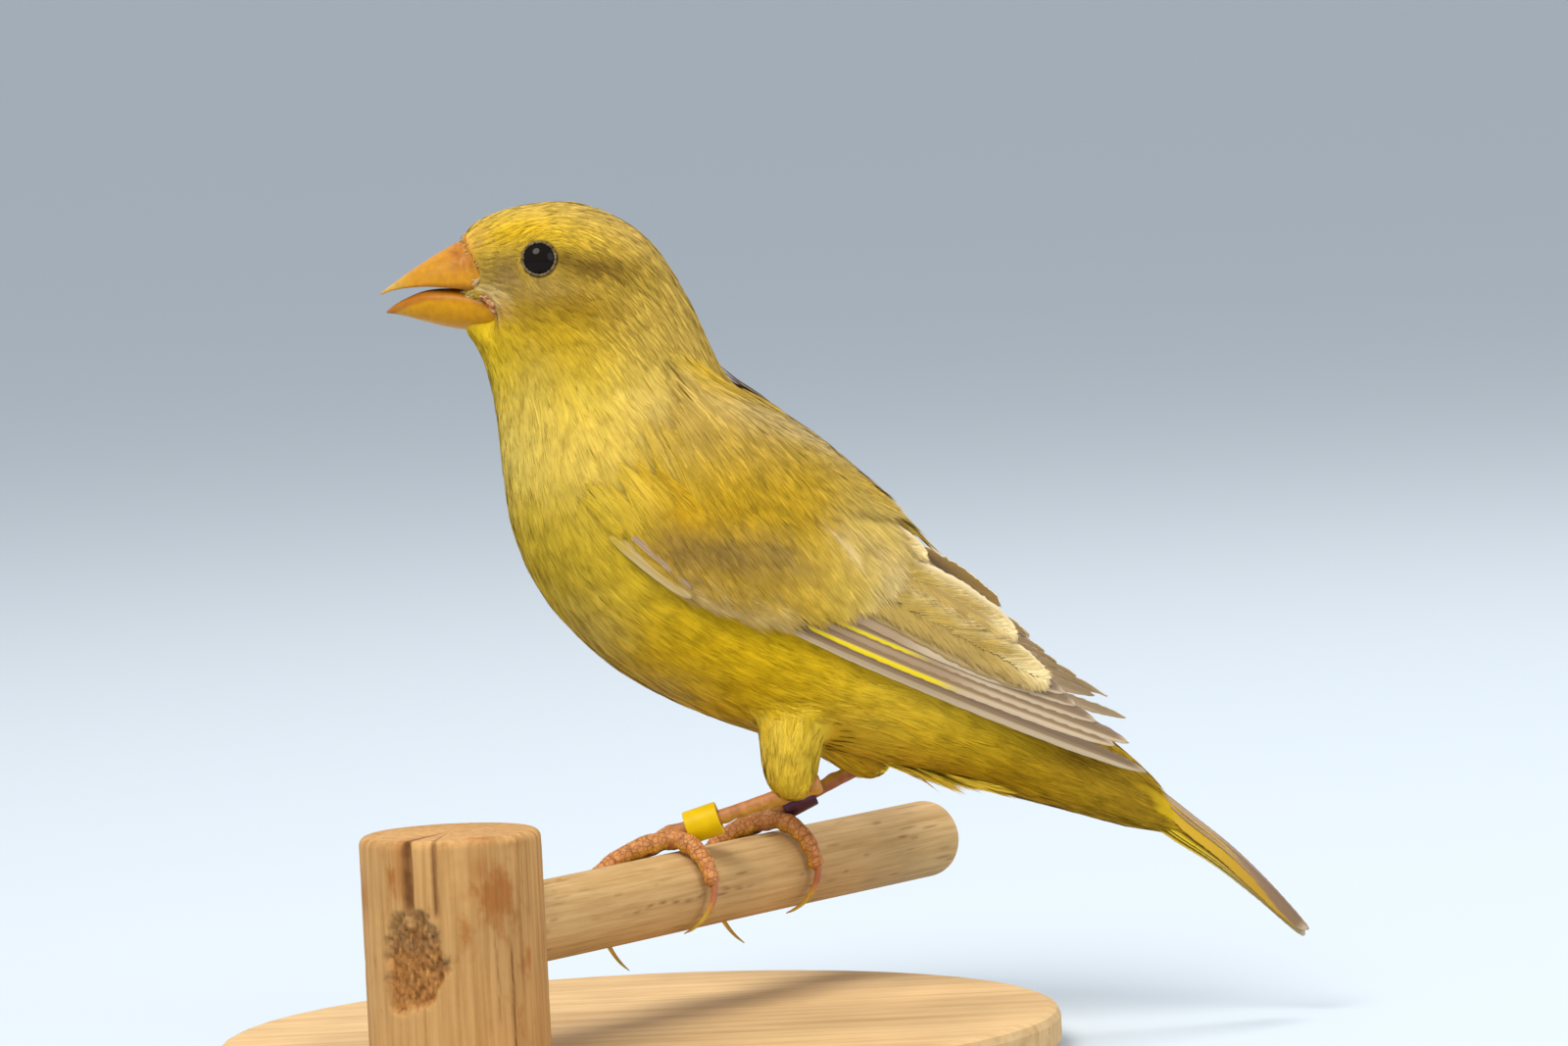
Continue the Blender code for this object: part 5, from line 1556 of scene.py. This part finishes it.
def make_bill():
    finish = horn_material()
    upper = bill_half("bill_upper_fine", UPPER_BILL, 2.6, finish, paint_upper)
    points = mesh_points(upper)
    for side in (-1, 1):
        flap = np.exp(-(((points[:, 0] + 28.5) / 1.5) ** 2 + ((points[:, 2] - 96.2) / 0.8) ** 2))
        pit = np.exp(-(((points[:, 0] + 28.9) / 0.75) ** 2 + ((points[:, 2] - 96.5) / 0.32) ** 2))
        same = points[:, 1] * side > 1.2
        base = smoothstep(-30.6, -27.6, points[:, 0] + 0.25 * (points[:, 2] - 95)) * smoothstep(94.2, 95.6, points[:, 2])
        folds = np.sin(4.6 * points[:, 0] + 2.2 * points[:, 2]) * np.cos(3.1 * points[:, 2] - points[:, 0])
        points[:, 1] += side * same * (0.16 * flap - 0.75 * pit + 0.20 * base * folds)
    set_points(upper, points)
    show(upper, "bill_horn", "bill_upper")
    lower = bill_half("bill_lower_fine", LOWER_BILL, 0.0, finish, paint_lower)
    show(lower, "bill_horn", "bill_lower")
    BILL_TREES.extend((tree_of(upper), tree_of(lower)))


def make_gapes():
    """The wrinkled bare flesh at the corners of the mouth."""
    flesh = attribute_material("gape_flesh", 0.55, 3000, 0.00004)
    line = ((-25.7, 4.7, 91.8), (-24.6, 5.2, 91.4), (-23.7, 5.6, 90.8), (-23.1, 5.8, 90.1), (-23.2, 5.8, 89.3))

    def wrinkled(share, length, turns):
        return 0.14 * np.sin(5 * turns + 3 * length) * np.sin(4.2 * length) + 0.10 * np.sin(9.0 * length)

    def paint(share, length, turns):
        pale = 0.5 + 0.5 * np.sin(3 * turns + 5 * length)
        return mixed((0.28, 0.09, 0.03), (0.50, 0.28, 0.12), pale)

    for side, name in ((-1, "left"), (1, "right")):
        points = []
        for x, y, z in line:
            laid, normal, _, _ = HULL_TREE.find_nearest(Vector((x, side * y, z)))
            points.append(laid + normal * 0.05)
        show(tube("gape_" + name, points, (0.25, 0.4, 0.5, 0.42, 0.2), flesh, wrinkled, paint), "leg_skin")


def make_eyes():
    made = Nodes("eye_dark")
    made.finish(Base_Color=(0.006, 0.004, 0.003), Roughness=0.05, Specular_IOR_Level=0.1)
    lid_made = Nodes("lid_skin")
    shade = lid_made.ramp(lid_made.noise(2500, 3), (0.35, (0.07, 0.045, 0.02)), (0.7, (0.22, 0.16, 0.08)))
    lid_made.finish(Base_Color=shade, Roughness=0.8, Specular_IOR_Level=0.1)
    for side in ("left", "right"):
        bpy.ops.mesh.primitive_uv_sphere_add(segments=64, ring_count=40, radius=EYE_RADIUS * MM, location=EYE_AT[side] * MM)
        eye = bpy.context.object
        eye.name = "eye_globe_" + side
        eye.data.shade_smooth()
        eye.data.materials.append(made.material)
        show(eye, "eye", "eye_" + side)
        seat, axis = eye_seat(side)
        u = axis.cross(Vector((0, 0, 1))).normalized()
        v = u.cross(axis).normalized()
        turns, rounds = 96, 14
        points = []
        for i in range(turns):
            turn = 2 * math.pi * i / turns
            out = u * math.cos(turn) + v * math.sin(turn)
            beads = 0.045 * math.cos(26 * turn) + 0.03 * math.sin(17 * turn + 1)
            for j in range(rounds):
                roll = 2 * math.pi * j / rounds
                thick = 0.17 + beads
                reach = EYE_OPEN + 0.14 + thick * math.cos(roll)
                drop = reach * reach * 0.012
                points.append(seat + out * reach + axis * (0.02 - drop + (thick + 0.05) * math.sin(roll)))
        faces = [(i * rounds + j, i * rounds + (j + 1) % rounds, ((i + 1) % turns) * rounds + (j + 1) % rounds,
                  ((i + 1) % turns) * rounds + j) for i in range(turns) for j in range(rounds)]
        lid = new_object("lid_" + side, points, faces, lid_made.material)
        show(lid, "leg_skin")


# Legs, feet and rings

PERCH_HEIGHT = 19.5
PERCH_RADIUS = 4.75
PERCH_TURN = math.radians(57)
GAP = 0.3
TOES = {
    "left": {"inner": (-0.2, 64, 0.5), "middle": (-0.75, 96, 3.2), "outer": (-1.45, 64, 0.5), "hind": (-0.12, -74, 0.2)},
    "right": {"inner": (-1.0, 66, 0.5), "middle": (-0.45, 96, 3.0), "outer": (0.2, 64, 0.5), "hind": (0.05, -80, 0.3)},
}
LEGS = {
    "left": ((-6.4, -8.6, 25.9), (-6.4, -8.6, 26.4), (10.3, -9.4, 31.3), -11.15, 0.8),
    "right": ((4.6, 8.6, 25.85), (5.2, 8.6, 26.3), (18.0, 10.1, 32.2), 10.25, 0.45),
}
TOE_THICK = 1.25
TOE_END = 0.88
TUBE_AROUND = 28
STUB = 1.4
RING_ABOVE = 0.65
RING_BORE = 1.2
RING_LENGTH = 4.1
CLAW_SWEEP = (76, 74)
CLAW_DRIFT = 1.9


def perch_point(along, around, away):
    """A point by the perch: along it, turned from its top towards the toes' side, and away from its axis."""
    cos, sin = math.cos(PERCH_TURN), math.sin(PERCH_TURN)
    forward = away * math.sin(around)
    return Vector((along * cos - forward * sin, along * sin + forward * cos, PERCH_HEIGHT + away * math.cos(around)))


def tube(name, points, radii, finish, shape=None, paint=None, steps=8, up=Vector((0, 0, 1))):
    """A tube along a smooth curve. shape gives extra radius for a share along and a turn around."""
    rows = np.array([(*p, r) for p, r in zip(points, radii)], float)
    ats = np.linspace(0, len(rows) - 1, (len(rows) - 1) * steps + 1)
    line = np.array([smooth_row(rows, at) for at in ats])
    places, thick = line[:, :3], np.maximum(line[:, 3], 0.03)
    tangents = np.gradient(places, axis=0)
    tangents /= np.linalg.norm(tangents, axis=1, keepdims=True)
    made, colours = [], []
    side = Vector(tangents[0]).cross(up)
    if side.length < 0.05:
        side = Vector(tangents[0]).cross(Vector((0, 1, 0)))
    side.normalize()
    length = np.concatenate([[0], np.cumsum(np.linalg.norm(np.diff(places, axis=0), axis=1))])
    turns = 2 * np.pi * np.arange(TUBE_AROUND) / TUBE_AROUND
    for i, place in enumerate(places):
        tangent = Vector(tangents[i])
        side = (side - tangent * side.dot(tangent)).normalized()
        other = tangent.cross(side)
        reach = thick[i] * np.ones(TUBE_AROUND)
        if shape is not None:
            reach = reach + shape(i / (len(places) - 1), length[i], turns)
        ring = place + np.cos(turns)[:, None] * reach[:, None] * np.array(side)
        ring = ring + np.sin(turns)[:, None] * reach[:, None] * np.array(other)
        made.append(ring)
        if paint is not None:
            colours.append(paint(i / (len(places) - 1), length[i], turns))
    faces = grid_faces(len(places), TUBE_AROUND, caps=True)
    return new_object(name, np.concatenate(made), faces, finish, np.concatenate(colours) if colours else None)


TOE_SKIN = (0.56, 0.24, 0.075)
TOE_GROOVE = (0.20, 0.065, 0.02)
PAD_SKIN = (0.62, 0.32, 0.04)
CLAW_BASE = (0.42, 0.15, 0.06)
CLAW_HORN = (0.54, 0.36, 0.04)


def attribute_material(name, rough, bump_scale, bump_depth, subsurface=0.15, coat=0.0, cells=0):
    """Skin or horn in the mesh's own colours. cells above 0 draws a net of small scales."""
    made = Nodes(name)
    colour = made.add("ShaderNodeAttribute", attribute_name="plumage").outputs["Color"]
    mottled = made.ramp(made.noise(900, 4), (0.3, 0.74), (0.7, 1.16))
    colour = made.mix(1.0, colour, mottled, "MULTIPLY")
    normal = made.bump(made.noise(bump_scale, 4), bump_depth, 0.5)
    if cells:
        inputs = {"Vector": made.place(), "Scale": cells, "Randomness": 0.85}
        to_edge = made.add("ShaderNodeTexVoronoi", inputs, feature="DISTANCE_TO_EDGE").outputs["Distance"]
        scale = made.ramp(to_edge, (0.0, 0.0), (0.11, 1.0))
        colour = made.mix(scale, made.mix(1.0, colour, (0.66, 0.50, 0.42), "MULTIPLY"), colour)
        normal = made.bump(scale, 0.00009, 0.6, normal)
    made.finish(Base_Color=colour, Roughness=rough, Normal=normal, Subsurface_Weight=subsurface, Coat_Weight=coat,
                Specular_IOR_Level=0.25)
    made.shader.inputs["Subsurface Radius"].default_value = (0.0012, 0.0005, 0.00025)
    made.shader.inputs["Subsurface Scale"].default_value = 1.0
    return made.material


def scute_shape(period, height):
    def shape(share, length, turns):
        phase = (length / period) % 1.0
        ridge = height * (1 - abs(2 * phase - 1) ** 3) - height * 0.5
        top = smoothstep(-0.3, 0.4, np.sin(turns))
        pads = 0.10 * np.sin(length / 2.3 * 2 * math.pi) * (1 - top)
        return ridge * top + pads

    return shape


def scute_paint(period, base, groove, under):
    def paint(share, length, turns):
        phase = abs(2 * ((length / period) % 1.0) - 1)
        dark = smoothstep(0.72, 1.0, phase) * smoothstep(-0.3, 0.3, np.sin(turns))
        colour = mixed(under, base, smoothstep(-0.5, 0.3, np.sin(turns)))
        return mixed_field(colour, groove, dark * 0.5)

    return paint


def make_toe(side, name, hub, start, slant, wrap, stand_off, skin, horn):
    sign = 1 if wrap > 0 else -1
    points, radii = [hub], [TOE_THICK * 1.1]
    steps = 7
    for i in range(1, steps + 1):
        share = i / steps
        radius = TOE_THICK + (TOE_END - TOE_THICK) * share
        swell = 1.0 + 0.09 * math.cos(share * 6 * math.pi)
        around = math.radians(wrap) * share
        away = PERCH_RADIUS + GAP + radius * 1.05
        arc = abs(around) * away
        points.append(perch_point(start + slant * arc, around, away))
        radii.append(radius * swell)
    around = math.radians(wrap) + sign * math.radians(66) * 0.10
    end_arc = abs(math.radians(wrap)) * away
    points.append(perch_point(start + slant * (end_arc + 0.3), around, away + 0.15))
    radii.append(0.5)
    toe = tube(f"toe_{side}_{name}", points, radii, skin, scute_shape(1.25, 0.05),
               scute_paint(1.25, TOE_SKIN, TOE_GROOVE, PAD_SKIN), up=Vector((0, 0, -1)))
    show(toe, "leg_skin")
    claw_points, claw_radii = [], []
    sweep = CLAW_SWEEP[name == "hind"]
    for i in range(0, 9):
        share = i / 8
        around = math.radians(wrap) + sign * math.radians(sweep) * (0.02 + 0.98 * share)
        radius = 0.40 * (1 - share) ** 0.6 + 0.06
        lift = PERCH_RADIUS + GAP + 0.62 * (1 - share) + 0.14 + 0.5 * (1 - share) + stand_off * share**1.6
        drift = CLAW_DRIFT * share**2 if name == "hind" else 0
        claw_points.append(perch_point(start + slant * (end_arc + 2.2 * share) - drift, around, lift))
        claw_radii.append(radius)

    def paint(share, length, turns):
        colour = mixed(CLAW_BASE, CLAW_HORN, smoothstep(0.25, 0.65, share))
        return np.tile(colour, (len(turns), 1))

    claw = tube(f"claw_{side}_{name}", claw_points, claw_radii, horn, None, paint)
    show(claw, "leg_skin")


def ring_band(name, middle, axis, finish, inner, outer, length, node, slot):
    """A leg ring turned from a rounded profile."""
    half = length / 2
    edge = 0.14
    profile = []
    for centre_r, centre_z, start in ((outer - edge, half - edge, 0), (outer - edge, edge - half, -1),
                                      (inner + edge, edge - half, -2), (inner + edge, half - edge, -3)):
        for k in range(4):
            turn = math.radians(90 - 30 * k + 90 * start)
            profile.append((centre_r + edge * math.cos(turn), centre_z + edge * math.sin(turn)))
    side = axis.orthogonal().normalized()
    other = axis.cross(side)
    turns, count = 72, len(profile)
    points = []
    for i in range(turns):
        turn = 2 * math.pi * i / turns
        out = side * math.cos(turn) + other * math.sin(turn)
        points += [middle + out * r + axis * z for r, z in profile]
    faces = [(i * count + j, i * count + (j + 1) % count, ((i + 1) % turns) * count + (j + 1) % count,
              ((i + 1) % turns) * count + j) for i in range(turns) for j in range(count)]
    ring = new_object(name, points, faces, finish)
    show(ring, slot, node)
    return ring


def make_legs():
    skin = attribute_material("scaled_skin", 0.5, 2400, 0.00005, 0.1, 0.0, 1450)
    shin = attribute_material("shin_skin", 0.5, 1400, 0.00004, 0.1)
    horn = attribute_material("claw_horn", 0.35, 1800, 0.00002, 0.2, 0.2)
    yellow = Nodes("ring_yellow_fine")
    worn = yellow.ramp(yellow.noise(500, 4), (0.3, (0.60, 0.385, 0.0006)), (0.75, (0.70, 0.46, 0.001)))
    yellow.finish(Base_Color=worn, Roughness=0.4, Specular_IOR_Level=0.12)
    purple = Nodes("ring_purple_fine")
    dyed = purple.ramp(purple.noise(700, 5), (0.3, (0.050, 0.014, 0.030)), (0.8, (0.11, 0.04, 0.07)))
    purple.finish(Base_Color=dyed, Roughness=0.3, Metallic=0.75)
    for side, (hub, ankle, heel, start, wall) in LEGS.items():
        hub, ankle, heel = Vector(hub), Vector(ankle), Vector(heel)
        up_leg = (heel - ankle).normalized()
        line = [hub, ankle, ankle + up_leg * STUB, ankle + up_leg * 7, ankle + up_leg * 12, heel, heel + up_leg * 1.5]
        base = (0.44, 0.18, 0.055) if side == "left" else (0.40, 0.15, 0.07)
        shank = tube("tarsus_" + side, line, (1.5, 1.15, 0.95, 0.88, 0.92, 1.15, 1.0), shin, scute_shape(2.1, 0.03),
                     scute_paint(2.1, base, (0.30, 0.10, 0.05), (0.50, 0.25, 0.035)), steps=14)
        show(shank, "leg_skin", "shank_" + side)
        bpy.ops.mesh.primitive_uv_sphere_add(segments=40, ring_count=24, radius=1.75 * MM, location=hub * MM)
        knuckle = bpy.context.object
        knuckle.name = "knuckle_" + side
        knuckle.scale = (1.2, 1.2, 0.8)
        knuckle.data.shade_smooth()
        layer = knuckle.data.color_attributes.new("plumage", "FLOAT_COLOR", "POINT")
        layer.data.foreach_set("color", np.tile((*TOE_SKIN, 1.0), (len(knuckle.data.vertices), 1)).ravel())
        knuckle.data.materials.append(skin)
        show(knuckle, "leg_skin", "foot_" + side)
        for name, (slant, wrap, stand_off) in TOES[side].items():
            make_toe(side, name, hub, start, slant, wrap, stand_off, skin, horn)
        middle = ankle + up_leg * (STUB + RING_ABOVE + RING_LENGTH / 2)
        finish, slot = (yellow, "ring_yellow") if side == "left" else (purple, "ring_purple")
        ring_band("band_" + side, middle, up_leg, finish.material, RING_BORE, RING_BORE + wall, RING_LENGTH, "ring_" + side, slot)


# Perch and stand

POST_DISTANCE = 57.4
POST_RADIUS = 10.5
PERCH_END = 47.0


def wood_material(name, light, dark, stretch, turn=0.0, painted=False):
    """Wood with fine grain, darker pores along it and a soft unevenness. painted adds the mesh's own tints."""
    made = Nodes(name)
    level = (0, 0, turn)
    grain = made.noise(1.0, 6, 0.62, where=made.place(stretch, level))
    colour = made.ramp(grain, (0.30, dark), (0.60, light))
    blotch = made.ramp(made.noise(70, 3), (0.3, 0.86), (0.7, 1.07))
    colour = made.mix(1.0, colour, blotch, "MULTIPLY")
    pore_at = made.place(tuple(s * 0.55 if s == min(stretch) else s * 1.2 for s in stretch), level)
    pores = made.noise(1.6, 2, 0.5, where=pore_at)
    pit = made.ramp(pores, (0.235, 1.0), (0.275, 0.0))
    colour = made.mix(pit, colour, (0.16, 0.075, 0.025))
    if painted:
        tint = made.add("ShaderNodeAttribute", attribute_name="plumage").outputs["Color"]
        colour = made.mix(1.0, colour, tint, "MULTIPLY")
    height = made.mix(pit, grain, (0.0, 0.0, 0.0))
    made.finish(Base_Color=colour, Roughness=0.72, Normal=made.bump(height, 0.0001, 0.4), Specular_IOR_Level=0.15)
    return made.material


def rough_field(points, size, depth=3):
    """A soft random field between about -1 and 1."""
    return np.array([noise.fractal(Vector(p) / size, 0.8, 2.1, depth) for p in points])


def make_dowel():
    direction = Vector((math.cos(PERCH_TURN), math.sin(PERCH_TURN), 0))
    start = -(POST_DISTANCE - POST_RADIUS + 4.0)
    across = Vector((-direction.y, direction.x, 0))
    up = Vector((0, 0, 1))
    rows, around = 260, 120
    edge = 2.3
    alongs = start + (PERCH_END - start) * np.linspace(0, 1, rows)
    turn = 2 * np.pi * np.arange(around) / around
    rings = []
    for along in alongs:
        from_end = min(along - start, PERCH_END - along)
        radius = PERCH_RADIUS - (edge - math.sqrt(max(0, edge**2 - (edge - min(from_end, edge)) ** 2)))
        wobble = 0.03 * np.sin(3 * turn + along * 0.07) + 0.02 * np.sin(7 * turn + along * 0.11)
        reach = radius - 0.03 + wobble * 0.6
        ring = np.array(direction * along + up * PERCH_HEIGHT)
        ring = ring + np.cos(turn)[:, None] * reach[:, None] * np.array(up)
        ring = ring + np.sin(turn)[:, None] * reach[:, None] * np.array(across)
        rings.append(ring)
    # Dark dashes along the grain, and one long crack at the side that faces the camera
    round_arc = PERCH_RADIUS * np.where(turn > np.pi, turn - 2 * np.pi, turn)[None, :]
    dark = np.zeros((rows, around))
    for _ in range(150):
        middle, arc, half = random.uniform(start, PERCH_END - 3), random.uniform(-14, 14), random.uniform(0.5, 1.8)
        near = np.exp(-(((alongs[:, None] - middle) / half) ** 4) - ((round_arc - arc) / 0.13) ** 2)
        dark = np.maximum(dark, near * random.uniform(0.35, 0.75))
    bend = -7.4 + 0.25 * np.sin(alongs * 0.5)[:, None] + 0.012 * alongs[:, None]
    broken = 0.55 + 0.45 * np.sin(alongs * 2.3)[:, None]
    crack = np.exp(-(((alongs[:, None] + 15.0) / 13.5) ** 8) - ((round_arc - bend) / 0.15) ** 2) * broken
    dark = np.maximum(dark, 0.85 * crack).ravel()
    tints = mixed_field(np.ones((rows * around, 3)), (0.30, 0.20, 0.14), dark)
    points = np.concatenate(rings)
    finish = wood_material("dowel_wood", (0.60, 0.39, 0.17), (0.44, 0.255, 0.092), (60, 1500, 1500), -PERCH_TURN, True)
    dowel = new_object("dowel", points, grid_faces(rows, around, caps=True), finish, tints)
    show(dowel, "perch_wood", "perch_dowel")


def make_post():
    """The post with its two grooves, a chewed hollow below them, stains, painted shade in and beside the grooves, and a
    long crack.
    """
    low, high = (Vector(v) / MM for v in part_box("stand_post"))
    middle = (low + high) / 2
    around, edge = 300, 1.1
    turn = 2 * np.pi * np.arange(around) / around - np.pi
    levels = [(radius, 0.0) for radius in np.linspace(0.05, POST_RADIUS - edge, 20)]
    levels += [(POST_RADIUS - edge + edge * math.sin(a), edge - edge * math.cos(a)) for a in np.linspace(0.2, math.pi / 2, 8)]
    levels += [(POST_RADIUS, depth) for depth in np.linspace(edge + 0.2, high.z - low.z, 104)]
    reach = np.repeat([row[0] for row in levels], around)
    depth = np.repeat([row[1] for row in levels], around)
    angle = np.tile(turn, len(levels))
    arc = POST_RADIUS * angle
    flat = np.stack([arc, depth * 1.0, 0 * arc], axis=1)
    soft, fine = rough_field(flat, 3.2), rough_field(flat * (2.6, 1.0, 1.0), 1.1, 4)
    wide_groove = np.exp(-(np.abs(arc + 4.95 + 0.15 * soft) / 0.62) ** 4) * smoothstep(9.2, 7.4, depth)
    thin_groove = np.exp(-(np.abs(arc + 1.6 + 0.1 * soft) / 0.30) ** 4) * smoothstep(9.4, 8.0, depth)
    from_hollow = np.hypot((arc + 4.9 + 0.06 * (depth - 14)) / 3.9, (depth - 14.2) / 5.9)
    hollow = smoothstep(1.10, 0.86, from_hollow + 0.24 * soft + 0.12 * fine)
    cut = 0.85 * wide_groove + 0.55 * thin_groove + hollow * (0.95 + 0.55 * fine)
    cut += 0.05 * soft + 0.02 * fine
    reach = np.minimum(reach, POST_RADIUS - cut)
    points = np.stack([middle.x + reach * np.sin(angle), middle.y - reach * np.cos(angle), high.z - depth], axis=1)
    crack = np.exp(-(((arc - 7.3 - 0.2 * soft) / 0.13) ** 2)) * smoothstep(11, 14, depth)
    crack = np.maximum(crack, 0.7 * np.exp(-(((arc - 5.3 - 0.25 * soft) / 0.12) ** 2) - ((depth - 16) / 5.5) ** 4))
    fissures = np.exp(-((((arc * 1.7) % 2.4) - 1.2) / 0.16) ** 2) * smoothstep(9.0, 10.5, arc) * smoothstep(16, 4, depth)
    blot = np.exp(-(((arc - 5.6) / 3.2) ** 2) - ((depth - 6.6) / 4.2) ** 2)
    blot = np.maximum(blot, 0.8 * np.exp(-(((arc - 1.9) / 1.1) ** 2) - ((depth - 10.6) / 2.4) ** 2))
    blot = np.maximum(blot, 0.8 * np.exp(-(((arc - 9.6) / 1.0) ** 2) - ((depth - 14.2) / 2.2) ** 2))
    blot = np.maximum(blot, 0.7 * np.exp(-(((arc - 8.2) / 0.7) ** 2) - ((depth - 20.3) / 2.0) ** 2))
    blot = np.maximum(blot, 0.7 * np.exp(-(((arc + 7.1) / 1.1) ** 2) - ((depth - 4.8) / 3.4) ** 2))
    stain_and_shade = 0.75 * smoothstep(0.15, 1.0, blot + 0.55 * rough_field(flat * (1.0, 0.6, 1.0), 1.5, 4))
    stain_and_shade = np.maximum(stain_and_shade, 0.55 * np.exp(-(((arc - 3.7) / 1.1) ** 2) - ((depth - 3.6) / 1.8) ** 2))
    stain_and_shade = np.maximum(stain_and_shade, 0.6 * np.exp(-(((arc + 13.6) / 1.2) ** 2) - ((depth - 6.6) / 2.2) ** 2))
    stain_and_shade = np.maximum(stain_and_shade, 0.7 * np.exp(-(((arc - 4.3) / 2.0) ** 2) - ((reach - 9.4) / 0.8) ** 2) * (depth < 1.0))
    # Brown along the wide groove's left side is painted shadow
    stain_and_shade = np.maximum(stain_and_shade, 0.5 * np.exp(-(((arc + 6.0) / 0.9) ** 2)) * smoothstep(8.0, 5.0, depth))
    scuff = np.exp(-(((arc - 0.4) / 0.7) ** 2) - ((depth - 3.8) / 1.1) ** 2)
    tints = np.full((len(points), 3), 0.93)
    tints = mixed_field(tints, (0.66, 0.41, 0.22), np.clip(stain_and_shade * 1.1, 0, 1))
    # The grooves are painted darker than the wood: painted shade in the cuts
    tints = mixed_field(tints, (0.30, 0.21, 0.17), np.clip(wide_groove * (0.75 + 0.35 * soft), 0, 1))
    tints = mixed_field(tints, (0.52, 0.44, 0.42), np.clip(thin_groove * 0.9, 0, 1))
    fibres = mixed(np.array((0.52, 0.47, 0.47)), np.array((0.74, 0.56, 0.38)), smoothstep(11.0, 14.5, depth + 4 * soft))
    strand = rough_field(flat * (2.2, 0.7, 1.0) + arc[:, None] * (0, 0.35, 0), 0.9, 4)
    fibres = mixed_field(fibres, (1.05, 0.95, 0.86), smoothstep(0.1, 0.6, strand) * 0.7)
    fibres = mixed_field(fibres, (0.30, 0.20, 0.15), smoothstep(0.05, 0.7, -strand) * 0.6)
    tints = mixed_field(tints, fibres, hollow * 0.95)
    tints = mixed_field(tints, (0.30, 0.19, 0.14), np.clip(crack * 0.85 + 0.45 * fissures, 0, 1))
    tints = mixed_field(tints, (1.0, 1.0, 1.0), scuff)
    finish = wood_material("post_wood", (0.55, 0.305, 0.108), (0.39, 0.195, 0.058), (1300, 1300, 45), painted=True)
    post = new_object("post", points, grid_faces(len(levels), around, caps=True), finish, tints)
    show(post, "stand_wood", "stand_post")
    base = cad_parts["stand_base"]
    base.data.materials.clear()
    base.data.materials.append(wood_material("base_wood", (0.60, 0.40, 0.19), (0.48, 0.29, 0.12), (30, 420, 420)))


# Camera, floor and light

VIEW_LENGTH = 9350.0
VIEW_WIDTH = 1600.0
VIEW_DISTANCE = 1.100
VIEW_TILT = math.radians(4)
VIEW_ROLL = math.radians(2.8)
VIEW_TARGET = Vector((0.0089, 0.0, 0.0623))


def make_camera():
    forward = Vector((0, math.cos(VIEW_TILT), -math.sin(VIEW_TILT)))
    level = Vector((1, 0, 0))
    upright = Vector((0, math.sin(VIEW_TILT), math.cos(VIEW_TILT)))
    right = level * math.cos(VIEW_ROLL) - upright * math.sin(VIEW_ROLL)
    up = upright * math.cos(VIEW_ROLL) + level * math.sin(VIEW_ROLL)
    data = bpy.data.cameras.new("camera")
    data.sensor_width = 36.0
    data.lens = VIEW_LENGTH / VIEW_WIDTH * data.sensor_width
    data.clip_start = 0.01
    data.clip_end = 20.0
    camera = bpy.data.objects.new("camera", data)
    bpy.context.scene.collection.objects.link(camera)
    turn = Matrix((right, up, -forward)).transposed().to_4x4()
    camera.matrix_world = Matrix.Translation(VIEW_TARGET - forward * VIEW_DISTANCE) @ turn
    bpy.context.scene.camera = camera


def area_light(name, place, target, size, power, colour=(1, 1, 1)):
    data = bpy.data.lights.new(name, "AREA")
    data.shape = "DISK"
    data.size = size
    data.energy = power
    data.color = colour
    light = bpy.data.objects.new(name, data)
    light.location = place
    light.rotation_euler = (Vector(target) - Vector(place)).to_track_quat("-Z", "Y").to_euler()
    bpy.context.scene.collection.objects.link(light)


def make_studio():
    scene = bpy.context.scene
    scene.view_settings.view_transform = "Standard"
    bpy.ops.mesh.primitive_plane_add(size=80.0)
    floor = bpy.context.object
    floor.name = "floor"
    made = Nodes("pale_floor")
    made.finish(Base_Color=(0.50, 0.55, 0.59), Roughness=0.95, Specular_IOR_Level=0.1)
    floor.data.materials.append(made.material)
    world = bpy.data.worlds.new("studio")
    world.use_nodes = True
    world.node_tree.nodes["Background"].inputs["Color"].default_value = (0.90, 0.94, 1.0, 1)
    world.node_tree.nodes["Background"].inputs["Strength"].default_value = 0.78
    scene.world = world
    area_light("key", (-0.35, -0.55, 0.85), (0, 0, 0.06), 0.55, 9.0, (1.0, 0.97, 0.92))
    area_light("fill", (0.7, -0.5, 0.35), (0, 0, 0.06), 0.6, 2.2, (0.92, 0.96, 1.0))
    area_light("rim", (0.25, 0.45, 0.8), (0.02, 0, 0.06), 0.5, 4.5)


make_camera()
make_studio()
make_dowel()
make_post()
make_legs()
make_bill()
make_gapes()
make_eyes()
make_skin()
grow_coat()
grow_bristles()
for wing_side in ("left", "right"):
    make_wing(wing_side)
make_tail()
bpy.data.objects.remove(hull)
